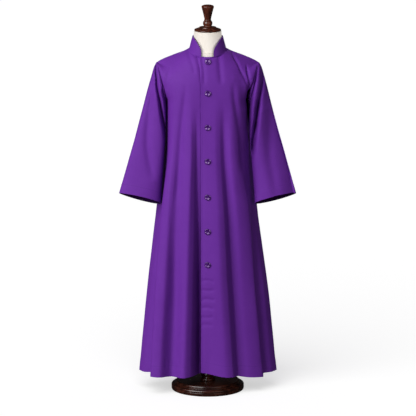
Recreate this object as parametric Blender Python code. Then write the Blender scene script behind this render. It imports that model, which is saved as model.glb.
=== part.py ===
"""A cassock worn by a limbless dress form on a turned wooden stand.

Metres, +Z up.  The origin is on the floor under the middle of the base.  -Y is the
front of the garment, and +X is the wearer's left.  Every piece of cloth is a wall
whose inner face is a smooth patch through a small net of points: the net's rows are
the level sections of the garment, its columns are the crests and hollows of the folds.
"""

from collections import namedtuple
from math import cos, pi, radians, sin, tau

import bpy
import numpy as np

# ------------------------------------------------------------------ driving dimensions

CLOTH = 0.0016              # thickness of the cloth
GAP = 0.0003                # air between neighbouring pieces
SEAM_INSET = 0.0003         # how far each piece stops short of a seam line

ARMPIT = (0.1765, 1.305)    # x and z of the underarm point
SHOULDER_POINT = (0.2200, 1.4690)
NECK_POINT = (0.0800, 1.5275)
ARMHOLE_DEPTH = 0.064       # half of the armhole, front to back
SHOULDER_ARCH = 0.0052      # rise of the shoulder seam over a straight line

LAP = 0.028                 # each front reaches this far past the centre line
TUCK = CLOTH + 2 * GAP      # how far the under front lies inside the upper one
TUCK_RUN = 0.024            # width over which it steps in
TUCK_END = 0.006            # distance from the step to the upper front's edge

BUTTON_RADIUS = 0.0135
BUTTON_HEIGHT = 0.0050
BUTTON_HEIGHTS = (1.4835, 1.3490, 1.1985, 1.0485, 0.8920, 0.7405, 0.5890)

BASE_RADIUS = 0.161
BASE_HEIGHT = 0.0265
PLINTH_RADIUS = 0.147
PLINTH_TOP = 0.0410         # the rim of the upper tier
PLINTH_FLOOR = 0.0385       # the flat inside the rim, where the column stands
COLUMN_RADIUS = 0.0215
FORM_BOTTOM = 0.800
NECK_TOP = 1.6080
CAP_TOP = 1.6270
CAP_RADIUS = 0.0588
FINIAL_RADIUS = 0.0272
TOTAL_HEIGHT = 1.7230

# Level sections above the underarm, half of the garment each.  A row's curve leaves the
# centre line straight across and arrives at its outer edge along "arrive".
Section = namedtuple("Section", "station centre_y centre_z pull_centre pull_edge arrive")
FRONT_SECTIONS = (
    Section(0.0, -0.1205, 1.318, 0.124, 0.112, (0.00, 1.00, 0.00)),
    Section(0.5, -0.1190, 1.345, 0.116, 0.068, (0.30, 0.95, 0.00)),
    Section(1.0, -0.1160, 1.388, 0.104, 0.052, (0.70, 0.70, 0.10)),
    Section(1.5, -0.1100, 1.424, 0.095, 0.060, (0.72, 0.66, 0.20)),
    Section(2.0, -0.1035, 1.448, 0.092, 0.078, (0.55, 0.78, 0.30)),
    Section(2.5, -0.0915, 1.478, 0.062, 0.066, (0.26, 0.93, 0.26)),
    Section(3.0, -0.0780, 1.504, 0.044, 0.043, (0.00, 0.99, 0.14)),
)
BACK_SECTIONS = (
    Section(0.0, 0.1185, 1.322, 0.124, 0.110, (0.00, -1.00, 0.00)),
    Section(0.5, 0.1185, 1.352, 0.116, 0.066, (0.30, -0.95, 0.00)),
    Section(1.0, 0.1170, 1.402, 0.100, 0.050, (0.72, -0.68, 0.10)),
    Section(1.5, 0.1110, 1.446, 0.098, 0.060, (0.75, -0.62, 0.20)),
    Section(2.0, 0.1010, 1.480, 0.092, 0.074, (0.58, -0.76, 0.28)),
    Section(2.5, 0.0860, 1.517, 0.060, 0.060, (0.28, -0.93, 0.24)),
    Section(3.0, 0.0690, 1.546, 0.044, 0.038, (0.00, -1.00, -0.08)),
)

# Folds below the underarm.  "across" is the fold's place on the chest, from 0 at the
# centre to 1 at the side seam; the pairs are its distance from the centre line and its
# depth at the ribs, waist, knee and hem, and "hem_z" is the height of the hem there.
SKIRT_LEVELS = (1.147, 0.820, 0.433)
HEM_LEVEL = 0.084
Fold = namedtuple("Fold", "name across ribs waist knee hem hem_z")
LEFT_FRONT_FOLDS = (
    Fold("front edge", -0.09, (-0.028, -0.121), (-0.028, -0.1205), (-0.028, -0.121), (-0.029, -0.128), 0.102),
    Fold("button line", 0.00, (0.001, -0.123), (0.001, -0.1275), (0.002, -0.1275), (0.004, -0.131), 0.097),
    Fold("front crest", 0.09, (0.030, -0.1245), (0.041, -0.132), (0.056, -0.1345), (0.076, -0.143), 0.084),
    Fold("crest's side", 0.15, (0.050, -0.1195), (0.067, -0.123), (0.086, -0.123), (0.109, -0.133), 0.082),
    Fold("front hollow", 0.21, (0.071, -0.108), (0.092, -0.093), (0.117, -0.080), (0.138, -0.090), 0.077),
    Fold("broad crest", 0.32, (0.099, -0.116), (0.127, -0.103), (0.152, -0.083), (0.176, -0.090), 0.072),
    Fold("side crest", 0.43, (0.127, -0.104), (0.182, -0.071), (0.211, -0.059), (0.245, -0.062), 0.067),
    Fold("side hollow", 0.56, (0.149, -0.082), (0.187, -0.042), (0.211, -0.032), (0.245, -0.033), 0.075),
    Fold("side panel", 0.78, (0.168, -0.046), (0.200, -0.013), (0.251, -0.006), (0.281, -0.014), 0.077),
    Fold("side seam", 1.00, (0.187, 0.054), (0.218, 0.040), (0.270, 0.030), (0.306, 0.020), 0.078),
)
RIGHT_FRONT_FOLDS = (
    Fold("under edge", -0.09, (-0.028, -0.1205), (-0.028, -0.118), (-0.027, -0.101), (-0.022, -0.078), 0.088),
    Fold("under lap", 0.00, (0.003, -0.1205), (0.006, -0.113), (0.009, -0.088), (0.012, -0.068), 0.088),
    Fold("front hollow", 0.12, (0.046, -0.1135), (0.040, -0.098), (0.035, -0.074), (0.036, -0.064), 0.084),
    Fold("crest's side", 0.18, (0.060, -0.1205), (0.065, -0.125), (0.072, -0.129), (0.079, -0.133), 0.083),
    Fold("front crest", 0.24, (0.074, -0.127), (0.084, -0.1365), (0.095, -0.141), (0.105, -0.146), 0.081),
    Fold("mid hollow", 0.40, (0.118, -0.108), (0.141, -0.109), (0.149, -0.098), (0.162, -0.104), 0.079),
    Fold("side crest", 0.56, (0.148, -0.101), (0.171, -0.116), (0.195, -0.124), (0.215, -0.133), 0.081),
    Fold("side fold", 0.70, (0.165, -0.078), (0.203, -0.085), (0.233, -0.100), (0.252, -0.113), 0.081),
    Fold("side hollow", 0.82, (0.1715, -0.046), (0.197, -0.040), (0.226, -0.048), (0.247, -0.048), 0.083),
    Fold("side panel", 0.92, (0.1750, -0.012), (0.207, -0.012), (0.253, -0.011), (0.282, -0.020), 0.079),
    Fold("side seam", 1.00, (0.187, 0.054), (0.225, 0.040), (0.270, 0.030), (0.304, 0.020), 0.078),
)
BACK_RIGHT_FOLDS = (
    Fold("side seam", -1.00, (-0.187, 0.054), (-0.225, 0.040), (-0.270, 0.030), (-0.304, 0.020), 0.078),
    Fold("panel", -0.84, (-0.191, 0.080), (-0.213, 0.074), (-0.254, 0.067), (-0.285, 0.062), 0.084),
    Fold("hollow", -0.66, (-0.155, 0.088), (-0.166, 0.076), (-0.189, 0.078), (-0.206, 0.086), 0.084),
    Fold("crest", -0.48, (-0.120, 0.105), (-0.134, 0.119), (-0.150, 0.133), (-0.164, 0.143), 0.083),
    Fold("hollow", -0.30, (-0.080, 0.108), (-0.088, 0.103), (-0.094, 0.104), (-0.101, 0.103), 0.085),
    Fold("crest", -0.13, (-0.036, 0.119), (-0.042, 0.129), (-0.045, 0.141), (-0.050, 0.151), 0.083),
)
BACK_LEFT_FOLDS = (
    Fold("hollow", 0.03, (0.008, 0.113), (0.010, 0.110), (0.012, 0.107), (0.015, 0.106), 0.085),
    Fold("crest", 0.20, (0.055, 0.118), (0.064, 0.129), (0.074, 0.143), (0.083, 0.153), 0.083),
    Fold("hollow", 0.36, (0.095, 0.103), (0.108, 0.098), (0.125, 0.099), (0.138, 0.098), 0.084),
    Fold("crest", 0.54, (0.135, 0.100), (0.152, 0.107), (0.177, 0.120), (0.196, 0.130), 0.083),
    Fold("hollow", 0.70, (0.157, 0.091), (0.176, 0.069), (0.206, 0.069), (0.228, 0.072), 0.084),
    Fold("panel", 0.86, (0.191, 0.080), (0.208, 0.072), (0.254, 0.060), (0.289, 0.054), 0.084),
    Fold("side seam", 1.00, (0.187, 0.054), (0.218, 0.040), (0.270, 0.030), (0.306, 0.020), 0.078),
)

# Rings down the sleeve: the outer and inner edge seen from the front, the middle's
# depth, half the sleeve front to back, and how much higher the front is than the middle.
# Then for each sleeve and ring: how square the inner and outer half are (2 for an
# ellipse), and how much thinner the sleeve is at its outer edge.
Ring = namedtuple("Ring", "name outer inner middle_y depth tilt")
SLEEVE_RINGS = (
    Ring("armhole", SHOULDER_POINT, ARMPIT, 0.000, ARMHOLE_DEPTH, 0.0),
    Ring("cap", (0.2325, 1.4530), (0.1815, 1.2680), -0.002, 0.0670, 0.0),
    Ring("upper arm", (0.2460, 1.4100), (0.1825, 1.2250), -0.005, 0.0660, 0.0),
    Ring("bicep", (0.2640, 1.3450), (0.1840, 1.1740), -0.010, 0.0610, 0.002),
    Ring("elbow", (0.2893, 1.2450), (0.1895, 1.1000), -0.016, 0.0560, 0.004),
    Ring("forearm", (0.3175, 1.1400), (0.1955, 1.0250), -0.022, 0.0510, 0.008),
    Ring("lower arm", (0.3540, 1.0120), (0.2025, 0.9350), -0.028, 0.0460, 0.013),
    Ring("cuff", (0.3880, 0.8910), (0.2090, 0.8465), -0.034, 0.0420, 0.019),
)
RIGHT_SLEEVE_SHAPE = ((2.0, 2.0, 0.0), (2.0, 2.2, 0.05), (2.1, 2.5, 0.15), (2.6, 3.0, 0.28),
                      (3.4, 3.4, 0.38), (3.4, 3.4, 0.42), (2.8, 2.6, 0.38), (2.1, 1.7, 0.30))
LEFT_SLEEVE_SHAPE = ((2.0, 2.0, 0.0), (2.0, 2.1, 0.10), (2.0, 2.3, 0.25), (2.0, 2.8, 0.45),
                     (1.9, 3.0, 0.62), (1.9, 3.0, 0.68), (1.9, 2.6, 0.55), (2.0, 1.7, 0.30))

# The padded form at each height: half-width, half-depth to the front and to the back,
# and the roundness of the ring, 2 for an ellipse and less for one that narrows sooner.
FormRing = namedtuple("FormRing", "z half_width front back roundness")
FORM_RINGS = (
    FormRing(FORM_BOTTOM, 0.146, 0.078, 0.084, 2.0),
    FormRing(0.825, 0.155, 0.085, 0.091, 2.0),
    FormRing(0.900, 0.155, 0.086, 0.094, 2.0),
    FormRing(0.990, 0.137, 0.083, 0.089, 2.0),
    FormRing(1.070, 0.125, 0.083, 0.083, 2.0),
    FormRing(1.150, 0.132, 0.094, 0.089, 2.0),
    FormRing(1.230, 0.146, 0.108, 0.098, 2.0),
    FormRing(1.300, 0.152, 0.1106, 0.103, 2.0),
    FormRing(1.360, 0.160, 0.104, 0.103, 2.0),
    FormRing(1.410, 0.173, 0.092, 0.096, 1.9),
    FormRing(1.440, 0.177, 0.082, 0.088, 1.75),
    FormRing(1.465, 0.175, 0.074, 0.080, 1.6),
)
# Rings whose sides lie right under the shoulder seams.
ShoulderRing = namedtuple("ShoulderRing", "half_width front back roundness")
FORM_SHOULDERS = (
    ShoulderRing(0.159, 0.0640, 0.0710, 1.3),
    ShoulderRing(0.140, 0.0660, 0.0700, 1.3),
    ShoulderRing(0.118, 0.0630, 0.0660, 1.20),
    ShoulderRing(0.096, 0.0600, 0.0640, 1.25),
)
NECK_FOOT = 1.5215          # level where the neck rises out of the shoulders
NECK_CORE = (0.0690, 0.0705, 0.0645)    # the neck there: half width, front and back
CORE_UNION = 24             # how closely the shoulders and the neck's core blend
FORM_NECK = (
    FormRing(NECK_FOOT, 0.0690, 0.0705, 0.0645, 2.0),
    FormRing(1.5320, 0.0664, 0.0672, 0.0625, 2.0),
    FormRing(1.5480, 0.0640, 0.0640, 0.0608, 2.0),
    FormRing(1.5800, 0.0618, 0.0605, 0.0590, 2.0),
    FormRing(1.5990, 0.0602, 0.0600, 0.0588, 2.0),
    FormRing(1.6060, 0.0600, 0.0598, 0.0586, 2.0),
    FormRing(NECK_TOP, 0.0585, 0.0583, 0.0572, 2.0),
)

# ------------------------------------------------------------------ clean start

for old in list(bpy.data.objects):
    bpy.data.objects.remove(old, do_unlink=True)


# ------------------------------------------------------------------ materials and meshes

def material(name, colour, roughness):
    """A plain Principled finish."""
    found = bpy.data.materials.new(name)
    found.use_nodes = True
    shader = found.node_tree.nodes["Principled BSDF"]
    shader.inputs["Base Color"].default_value = (*colour, 1.0)
    shader.inputs["Roughness"].default_value = roughness
    return found


PURPLE = material("purple twill", (0.145, 0.030, 0.300), 0.65)
BUTTON = material("purple horn", (0.110, 0.035, 0.210), 0.25)
CANVAS = material("ivory form cover", (0.880, 0.830, 0.770), 0.75)
WOOD = material("dark polished wood", (0.055, 0.014, 0.008), 0.25)


def add_object(name, points, faces, finish):
    """One closed object at the world origin, shaded smooth except at its real edges."""
    mesh = bpy.data.meshes.new(name)
    mesh.from_pydata([tuple(point) for point in points], [], faces)
    mesh.validate()
    mesh.shade_smooth()
    mesh.set_sharp_from_angle(angle=radians(40))
    mesh.materials.append(finish)
    piece = bpy.data.objects.new(name, mesh)
    bpy.context.scene.collection.objects.link(piece)
    return piece


def steady(knots, values, at):
    """Smooth curve through the values that never swings past them: cubic pieces whose
    slope at each knot is the harmonic mean of the slopes on its two sides, or level
    where the values turn back."""
    knots = np.asarray(knots, float)
    values = np.asarray(values, float)
    at = np.asarray(at, float)
    shape = (-1,) + (1,) * (values.ndim - 1)
    spans = np.diff(knots).reshape(shape)
    rises = np.diff(values, axis=0) / spans
    before, after = rises[:-1], rises[1:]
    weight_before, weight_after = 2 * spans[1:] + spans[:-1], spans[1:] + 2 * spans[:-1]
    same_way = before * after > 0
    before, after = np.where(same_way, before, 1.0), np.where(same_way, after, 1.0)
    mean = (weight_before + weight_after) / (weight_before / before + weight_after / after)
    slopes = np.concatenate([rises[:1], np.where(same_way, mean, 0.0), rises[-1:]])
    low = np.clip(np.searchsorted(knots, at, side="right") - 1, 0, len(knots) - 2)
    span = spans[low]
    t = (at - knots[low]).reshape(shape) / span
    return ((2 * t**3 - 3 * t**2 + 1) * values[low] + (t**3 - 2 * t**2 + t) * span * slopes[low]
            + (3 * t**2 - 2 * t**3) * values[low + 1] + (t**3 - t**2) * span * slopes[low + 1])


def grid_normals(grid, wrap=False):
    """Unit normals of a grid of points, from its differences along rows and columns."""
    along_rows = np.gradient(grid, axis=0)
    if wrap:
        along_columns = (np.roll(grid, -1, axis=1) - np.roll(grid, 1, axis=1)) / 2
    else:
        along_columns = np.gradient(grid, axis=1)
    normals = np.cross(along_columns, along_rows)
    return normals / np.linalg.norm(normals, axis=2, keepdims=True)


def wall(name, grid, finish, wrap=False, outward=1):
    """A cloth wall: the grid is its inner face, and the outer one lies CLOTH further out.
    With wrap the columns close into a tube, open at both ends."""
    outer = grid + outward * CLOTH * grid_normals(grid, wrap)
    rows, columns = grid.shape[:2]
    size = rows * columns
    index = np.arange(size).reshape(rows, columns)
    if wrap:
        index = np.concatenate([index, index[:, :1]], axis=1)
    a, b = index[:-1, :-1].ravel(), index[:-1, 1:].ravel()
    c, d = index[1:, 1:].ravel(), index[1:, :-1].ravel()
    # Both faces of a quad start at the same corner, so their diagonals lie together.
    faces = [np.stack([a, b, c, d], 1) + size, np.stack([a, d, c, b], 1)]
    border = [index[0], index[-1, ::-1]]
    if not wrap:
        border = [np.concatenate([index[0], index[1:, -1], index[-1, -2::-1], index[-2::-1, 0]])]
    for line in border:
        first, second = line[:-1], line[1:]
        faces.append(np.stack([first, second, second + size, first + size], 1))
    faces = np.concatenate(faces)
    if outward < 0:
        faces = faces[:, ::-1]
    points = np.concatenate([grid.reshape(-1, 3), outer.reshape(-1, 3)])
    return add_object(name, points, faces.tolist(), finish)


def stacked(name, rings, finish):
    """A solid through closed rings listed from its top to its bottom, ends capped flat."""
    sides = len(rings[0])
    index = np.arange(len(rings) * sides).reshape(len(rings), sides)
    following = np.roll(index, -1, axis=1)
    around = np.stack([index[:-1], index[1:], following[1:], following[:-1]], 2).reshape(-1, 4)
    faces = [*around.tolist(), index[0].tolist(), index[-1, ::-1].tolist()]
    return add_object(name, np.concatenate(rings), faces, finish)


def turned(name, profile, finish, sides):
    """A solid turned from (radius, height) points listed from its top to its bottom."""
    profile = np.asarray(profile, float)
    angles = np.arange(sides) * tau / sides
    rings = [np.stack([radius * np.cos(angles), radius * np.sin(angles), np.full(sides, height)], 1)
             for radius, height in profile]
    return stacked(name, rings, finish)


# ------------------------------------------------------------------ cassock body

def armhole_point(turn):
    """Point of the armhole ellipse; turn is 0 at the underarm, pi / 2 at the front, pi
    at the shoulder point.  The x is that of the wearer's left arm."""
    middle = (np.array(ARMPIT) + SHOULDER_POINT) / 2
    reach = np.array(ARMPIT) - middle
    x, z = middle + reach * cos(turn)
    return np.array([x, -ARMHOLE_DEPTH * sin(turn), z])


def edge_point(station, side):
    """Outer edge of a section: the armhole up to station 2, then the shoulder seam.
    side is -1 for the front and +1 for the back."""
    if station <= 2:
        point = armhole_point(station * pi / 2)
        return point * (1, -side, 1)
    share = station - 2
    x, z = (1 - share) * np.array(SHOULDER_POINT) + share * np.array(NECK_POINT)
    return np.array([x, 0.0, z + SHOULDER_ARCH * sin(share * pi)])


STATIONS = np.concatenate([np.arange(0, 2.01, 0.25), (2.5, 3.0)])
STATION_RISE = 0.085        # mean distance up the cloth from one whole station to the next
# Rows of every body net: hem, knee, waist, ribs, then the stations from the underarm up.
ROW_PLACE = np.concatenate([(HEM_LEVEL, *SKIRT_LEVELS[::-1]), ARMPIT[1] + STATION_RISE * STATIONS])
UNDERARM_ROW = 4


def section_curve(values, station, across, side):
    """Half a section as one cubic Bezier curve from the centre line to the outer edge,
    read at the places in across, and mirrored past 0."""
    centre_y, centre_z, pull_centre, pull_edge = values[:4]
    arrive = np.array(values[4:]) / np.linalg.norm(values[4:])
    t = np.abs(across)[:, None]
    start = np.array([0.0, centre_y, centre_z])
    end = edge_point(station, side)
    leave = start + (pull_centre, 0.0, 0.0)
    reach = end - pull_edge * arrive
    curve = (1 - t)**3 * start + 3 * (1 - t)**2 * t * leave + 3 * (1 - t) * t**2 * reach + t**3 * end
    curve[:, 0] *= np.where(across < 0, -1.0, 1.0)
    return curve


def section_values(section):
    """The numbers of a section in one row, for smoothing between sections."""
    return (section.centre_y, section.centre_z, section.pull_centre, section.pull_edge, *section.arrive)


def upper_rows(sections, across, side):
    """Net rows from the underarm to the neck."""
    stations = [section.station for section in sections]
    table = [section_values(section) for section in sections]
    rows = zip(STATIONS, steady(stations, table, STATIONS))
    return np.array([section_curve(values, station, across, side) for station, values in rows])


def skirt_rows(folds):
    """Net rows from the hem to the ribs, one column for each fold."""
    rows = [[(*fold.hem, fold.hem_z) for fold in folds]]
    for level, name in zip(SKIRT_LEVELS[::-1], ("knee", "waist", "ribs")):
        rows.append([(*getattr(fold, name), level) for fold in folds])
    return np.array(rows)


def body_net(sections, folds, side):
    """The whole net of a body piece, hem to neck."""
    across = np.array([fold.across for fold in folds])
    return np.concatenate([skirt_rows(folds), upper_rows(sections, across, side)])


def column_places(net):
    """Parameter of each net column: the mean distance run along the rows."""
    steps = np.linalg.norm(np.diff(net, axis=1), axis=2).mean(axis=0)
    return np.concatenate([[0.0], np.cumsum(steps)])


def patch(net, row_share, column_share, seams):
    """Points of the smooth patch through a net.  Shares count in rows and columns, so
    1.5 is half way between the second and the third.  The rows run smoothly past the
    underarm, except beside a side seam, where the cloth turns a corner into the armhole:
    seams lists the shares of those columns."""
    places = column_places(net)
    columns_at = np.interp(column_share, np.arange(net.shape[1]), places)
    rows_at = np.interp(row_share, np.arange(len(ROW_PLACE)), ROW_PLACE)
    across = np.swapaxes(steady(places, np.swapaxes(net, 0, 1), columns_at), 0, 1)
    smooth = steady(ROW_PLACE, across, rows_at)
    under = rows_at <= ROW_PLACE[UNDERARM_ROW]
    turned_in = np.concatenate([
        steady(ROW_PLACE[:UNDERARM_ROW + 1], across[:UNDERARM_ROW + 1], rows_at[under]),
        steady(ROW_PLACE[UNDERARM_ROW:], across[UNDERARM_ROW:], rows_at[~under])])
    nearness = np.min([np.abs(column_share - seam) for seam in seams], axis=0)
    corner = np.clip(1 - nearness, 0, 1)[None, :, None]
    return smooth + corner * (turned_in - smooth)


def pull_in(grid, columns):
    """The grid with its first or last column drawn in by SEAM_INSET along the cloth;
    columns lists (edge column, its neighbour)."""
    grid = grid.copy()
    for edge, neighbour in columns:
        inward = grid[:, neighbour] - grid[:, edge]
        grid[:, edge] += SEAM_INSET * inward / np.linalg.norm(inward, axis=1, keepdims=True)
    return grid


def tucked(grid):
    """The under front pressed in by TUCK where the upper front lies on it."""
    share = np.clip((grid[..., 0] + LAP + TUCK_END) / TUCK_RUN + 1, 0, 1)
    grid = grid.copy()
    grid[..., 1] += TUCK * share**2 * (3 - 2 * share)
    return grid


ROW_SHARE = np.concatenate([np.arange(0, UNDERARM_ROW, 0.5), np.arange(UNDERARM_ROW, len(ROW_PLACE))])
FOLD_STEPS = 3              # columns of facets from one fold to the next

left_net = body_net(FRONT_SECTIONS, LEFT_FRONT_FOLDS, -1)
right_net = body_net(FRONT_SECTIONS, RIGHT_FRONT_FOLDS, -1) * (-1, 1, 1)
back_net = body_net(BACK_SECTIONS, BACK_RIGHT_FOLDS + BACK_LEFT_FOLDS, 1)


def column_shares(net):
    """Shares of the facets' columns, FOLD_STEPS of them from each net column to the next."""
    spans = net.shape[1] - 1
    return np.linspace(0, spans, spans * FOLD_STEPS + 1)


left_grid = patch(left_net, ROW_SHARE, column_shares(left_net), (left_net.shape[1] - 1,))
right_grid = tucked(patch(right_net, ROW_SHARE, column_shares(right_net), (right_net.shape[1] - 1,)))
back_grid = patch(back_net, ROW_SHARE, column_shares(back_net), (0, back_net.shape[1] - 1))

FIRST, LAST = (0, 1), (-1, -2)

wall("left_front", pull_in(left_grid, [LAST]), PURPLE)
wall("right_front", pull_in(right_grid, [LAST]), PURPLE, outward=-1)
wall("back", pull_in(back_grid, [FIRST, LAST]), PURPLE, outward=-1)


# ------------------------------------------------------------------ sleeves

SLEEVE_SIDES = 16
SLEEVE_STANDOFF = 0.0036    # the sleeve head stands this far out at the underarm


def sleeve_grid(side, shape):
    """Rings from the armhole to the cuff.  side is +1 for the wearer's left."""
    turns = np.arange(SLEEVE_SIDES) * tau / SLEEVE_SIDES
    rows = []
    for ring, (square_in, square_out, taper) in zip(SLEEVE_RINGS, shape):
        outer, inner = np.array(ring.outer), np.array(ring.inner)
        middle, reach = (outer + inner) / 2, (inner - outer) / 2
        power = np.where(np.cos(turns) < 0, square_out, square_in)
        swell = (np.abs(np.cos(turns))**power + np.abs(np.sin(turns))**power)**(-1 / power)
        across = swell * np.cos(turns)
        ahead = swell * np.sin(turns) * (1 - taper * (1 - across) / 2)
        x = middle[0] + reach[0] * across
        y = ring.middle_y - ring.depth * ahead
        z = middle[1] + reach[1] * across + ring.tilt * ahead
        rows.append(np.stack([x, y, z], 1))
    grid = np.array(rows)
    grid[0, :, 0] += 2 * GAP + SLEEVE_STANDOFF * (1 + np.cos(turns)) / 2
    grid[..., 0] *= side
    return grid


wall("left_sleeve", sleeve_grid(1, LEFT_SLEEVE_SHAPE), PURPLE, wrap=True, outward=-1)
wall("right_sleeve", sleeve_grid(-1, RIGHT_SLEEVE_SHAPE), PURPLE, wrap=True)


# ------------------------------------------------------------------ collar

COLLAR_ROWS = 5
COLLAR_SEAT = 0.0017        # how far the collar's lower edge stands above the neckline
COLLAR_RIGHT_END = 0.222    # place of the collar's ends along each front's neckline
COLLAR_LEFT_END = 0.205
COLLAR_TOP = 1.5855         # level of its top edge
# Distance round from the collar's end, and the top line's level there.
COLLAR_TOP_LINE = (
    (0.0, 1.5230), (0.0012, 1.5295), (0.0050, 1.5395), (0.0110, 1.5490), (0.0200, 1.5590),
    (0.0330, 1.5695), (0.0480, 1.5780), (0.0650, 1.5835), (0.0850, COLLAR_TOP),
)
COLLAR_SIDE_LEAN = 0.0150   # how far the top edge leans in at the sides
COLLAR_MIDDLE_LEAN = 0.0050     # and at the centre front and back
COLLAR_FRONT_POINTS = 9
COLLAR_BACK_POINTS = 13
COLLAR_CROWDING = 1.3       # the front points stand closer together near the ends


def neckline():
    """Points of the neck edge from the collar's right end round the back to its left
    end, closer together near the ends."""
    spread = np.linspace(0, 1, COLLAR_FRONT_POINTS)**COLLAR_CROWDING
    right, left = [section_curve(section_values(FRONT_SECTIONS[-1]), 3.0, end + (1 - end) * spread, -1)
                   for end in (COLLAR_RIGHT_END, COLLAR_LEFT_END)]
    back_places = np.linspace(-1, 1, COLLAR_BACK_POINTS)
    back = section_curve(section_values(BACK_SECTIONS[-1]), 3.0, back_places, 1)
    return np.concatenate([right * (-1, 1, 1), back[1:-1], left[::-1]])


def collar_grid():
    """Rows from the seam to the top edge, columns along the neckline.  The top line
    curves up and back from the ends to its full height at the sides."""
    foot = neckline()
    turn = np.arctan2(np.abs(foot[:, 0]), -foot[:, 1])
    round_about = np.append(0.0, np.cumsum(np.linalg.norm(np.diff(foot, axis=0), axis=1)))
    from_end = np.minimum(round_about, round_about[-1] - round_about)
    knots, levels = np.array(COLLAR_TOP_LINE).T
    top = steady(knots, levels, np.minimum(from_end, knots[-1]))
    along = np.gradient(foot[:, :2], axis=0)
    along /= np.linalg.norm(along, axis=1, keepdims=True)
    inward = np.stack([along[:, 1], -along[:, 0], np.zeros(len(foot))], 1)
    lean = COLLAR_MIDDLE_LEAN + (COLLAR_SIDE_LEAN - COLLAR_MIDDLE_LEAN) * np.sin(turn)**2
    rows = []
    for level in np.linspace(0, 1, COLLAR_ROWS):
        height = foot[:, 2] + COLLAR_SEAT + level * (top - foot[:, 2] - COLLAR_SEAT)
        leaning = lean * (height - foot[:, 2]) / (COLLAR_TOP - foot[:, 2])
        row = foot + leaning[:, None] * inward
        row[:, 2] = height
        rows.append(row)
    return np.array(rows)


wall("collar", collar_grid(), PURPLE, outward=-1)


# ------------------------------------------------------------------ buttons

BUTTON_SIDES = 16
BUTTON_SEAT = 0.0004        # clearance that lets the flat back pass over the cloth's curve
# Radius and height of the button's section from the middle of the dish round to the
# back, as shares of its whole radius and height.
BUTTON_PROFILE = ((0.40, 0.58), (0.66, 0.80), (0.80, 1.00), (0.92, 0.92), (1.00, 0.62),
                  (0.94, 0.24), (0.70, 0.00))
BUTTON_COLUMN = 1           # the net column of the left front that is the button line


def button_seat(height):
    """Middle of the button line at a height, on the outer face of the left front, with
    the outward direction there."""
    shares = np.linspace(0, left_net.shape[0] - 1, 400)
    columns = BUTTON_COLUMN + np.array([-0.1, 0.0, 0.1])
    line = patch(left_net, shares, columns, (left_net.shape[1] - 1,))
    row = int(np.abs(line[1:-1, 1, 2] - height).argmin()) + 1
    across = line[row, 2] - line[row, 0]
    up = line[row + 1, 1] - line[row - 1, 1]
    outward = np.cross(across, up)
    outward /= np.linalg.norm(outward)
    return line[row, 1] + (CLOTH + BUTTON_SEAT) * outward, outward


def button(name, height):
    """A round button with a raised rim and a dished face, seated flat on the cloth."""
    seat, outward = button_seat(height)
    seat[0] = 0.0
    across = np.cross((0.0, 0.0, 1.0), outward)
    across /= np.linalg.norm(across)
    up = np.cross(outward, across)
    angles = np.arange(BUTTON_SIDES) * tau / BUTTON_SIDES
    round_about = np.cos(angles)[:, None] * across + np.sin(angles)[:, None] * up
    rings = [seat + rise * BUTTON_HEIGHT * outward + BUTTON_RADIUS * reach * round_about
             for reach, rise in BUTTON_PROFILE]
    stacked(name, rings, BUTTON)


for number, height in enumerate(BUTTON_HEIGHTS, start=1):
    button(f"button_{number}", height)


# ------------------------------------------------------------------ dress form

FORM_SIDES = 32
FORM_CLEARANCE = 0.0018     # of the form's facets under the shoulder seams


def form_ring(z, half_width, front, back, roundness):
    """Level ring, a superellipse with its own depth to the front and to the back.  Under
    the neckline it grows smoothly round the neck's core, an ellipse."""
    angles = np.arange(FORM_SIDES) * tau / FORM_SIDES
    across, along = np.cos(angles), np.sin(angles)
    reach = np.where(along < 0, front, back)
    square = np.abs(across / half_width)**roundness + np.abs(along / reach)**roundness
    radius = square**(-1 / roundness)
    if z < NECK_FOOT:
        core_width, core_front, core_back = NECK_CORE
        core = 1 / np.hypot(across / core_width, along / np.where(along < 0, core_front, core_back))
        radius = (radius**CORE_UNION + core**CORE_UNION)**(1 / CORE_UNION)
    return np.stack([radius * across, radius * along, np.full(FORM_SIDES, z)], 1)


def shoulder_height(x):
    """Height of the form right under the shoulder seam, with the cloth's clearance."""
    outer_x, outer_z = SHOULDER_POINT
    neck_x, neck_z = NECK_POINT
    share = (outer_x - x) / (outer_x - neck_x)
    arch = SHOULDER_ARCH * np.sin(share * pi)
    return outer_z + share * (neck_z - outer_z) + arch - FORM_CLEARANCE


form_rings = [form_ring(*ring) for ring in FORM_RINGS]
form_rings += [form_ring(shoulder_height(ring.half_width), *ring) for ring in FORM_SHOULDERS]
form_rings += [form_ring(*ring) for ring in FORM_NECK]
stacked("form_torso", form_rings[::-1], CANVAS)


# ------------------------------------------------------------------ wooden stand

NECK_CAP_PROFILE = (
    (0.0215, CAP_TOP), (0.0300, CAP_TOP - 0.0010), (0.0375, CAP_TOP - 0.0022),
    (0.0388, CAP_TOP - 0.0048), (0.0500, CAP_TOP - 0.0082), (0.0572, CAP_TOP - 0.0112),
    (CAP_RADIUS, CAP_TOP - 0.0138), (0.0580, CAP_TOP - 0.0168), (0.0550, NECK_TOP + GAP),
)
FINIAL_PROFILE = (
    (0.0100, TOTAL_HEIGHT), (0.0200, TOTAL_HEIGHT - 0.0020), (0.0262, TOTAL_HEIGHT - 0.0052),
    (FINIAL_RADIUS, TOTAL_HEIGHT - 0.0085), (0.0255, TOTAL_HEIGHT - 0.0150), (0.0150, 1.6630),
    (0.0138, 1.6580), (0.0160, 1.6540), (0.0198, 1.6490), (0.0211, 1.6425), (0.0200, 1.6360),
    (0.0183, 1.6310), (0.0190, CAP_TOP + GAP),
)
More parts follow.
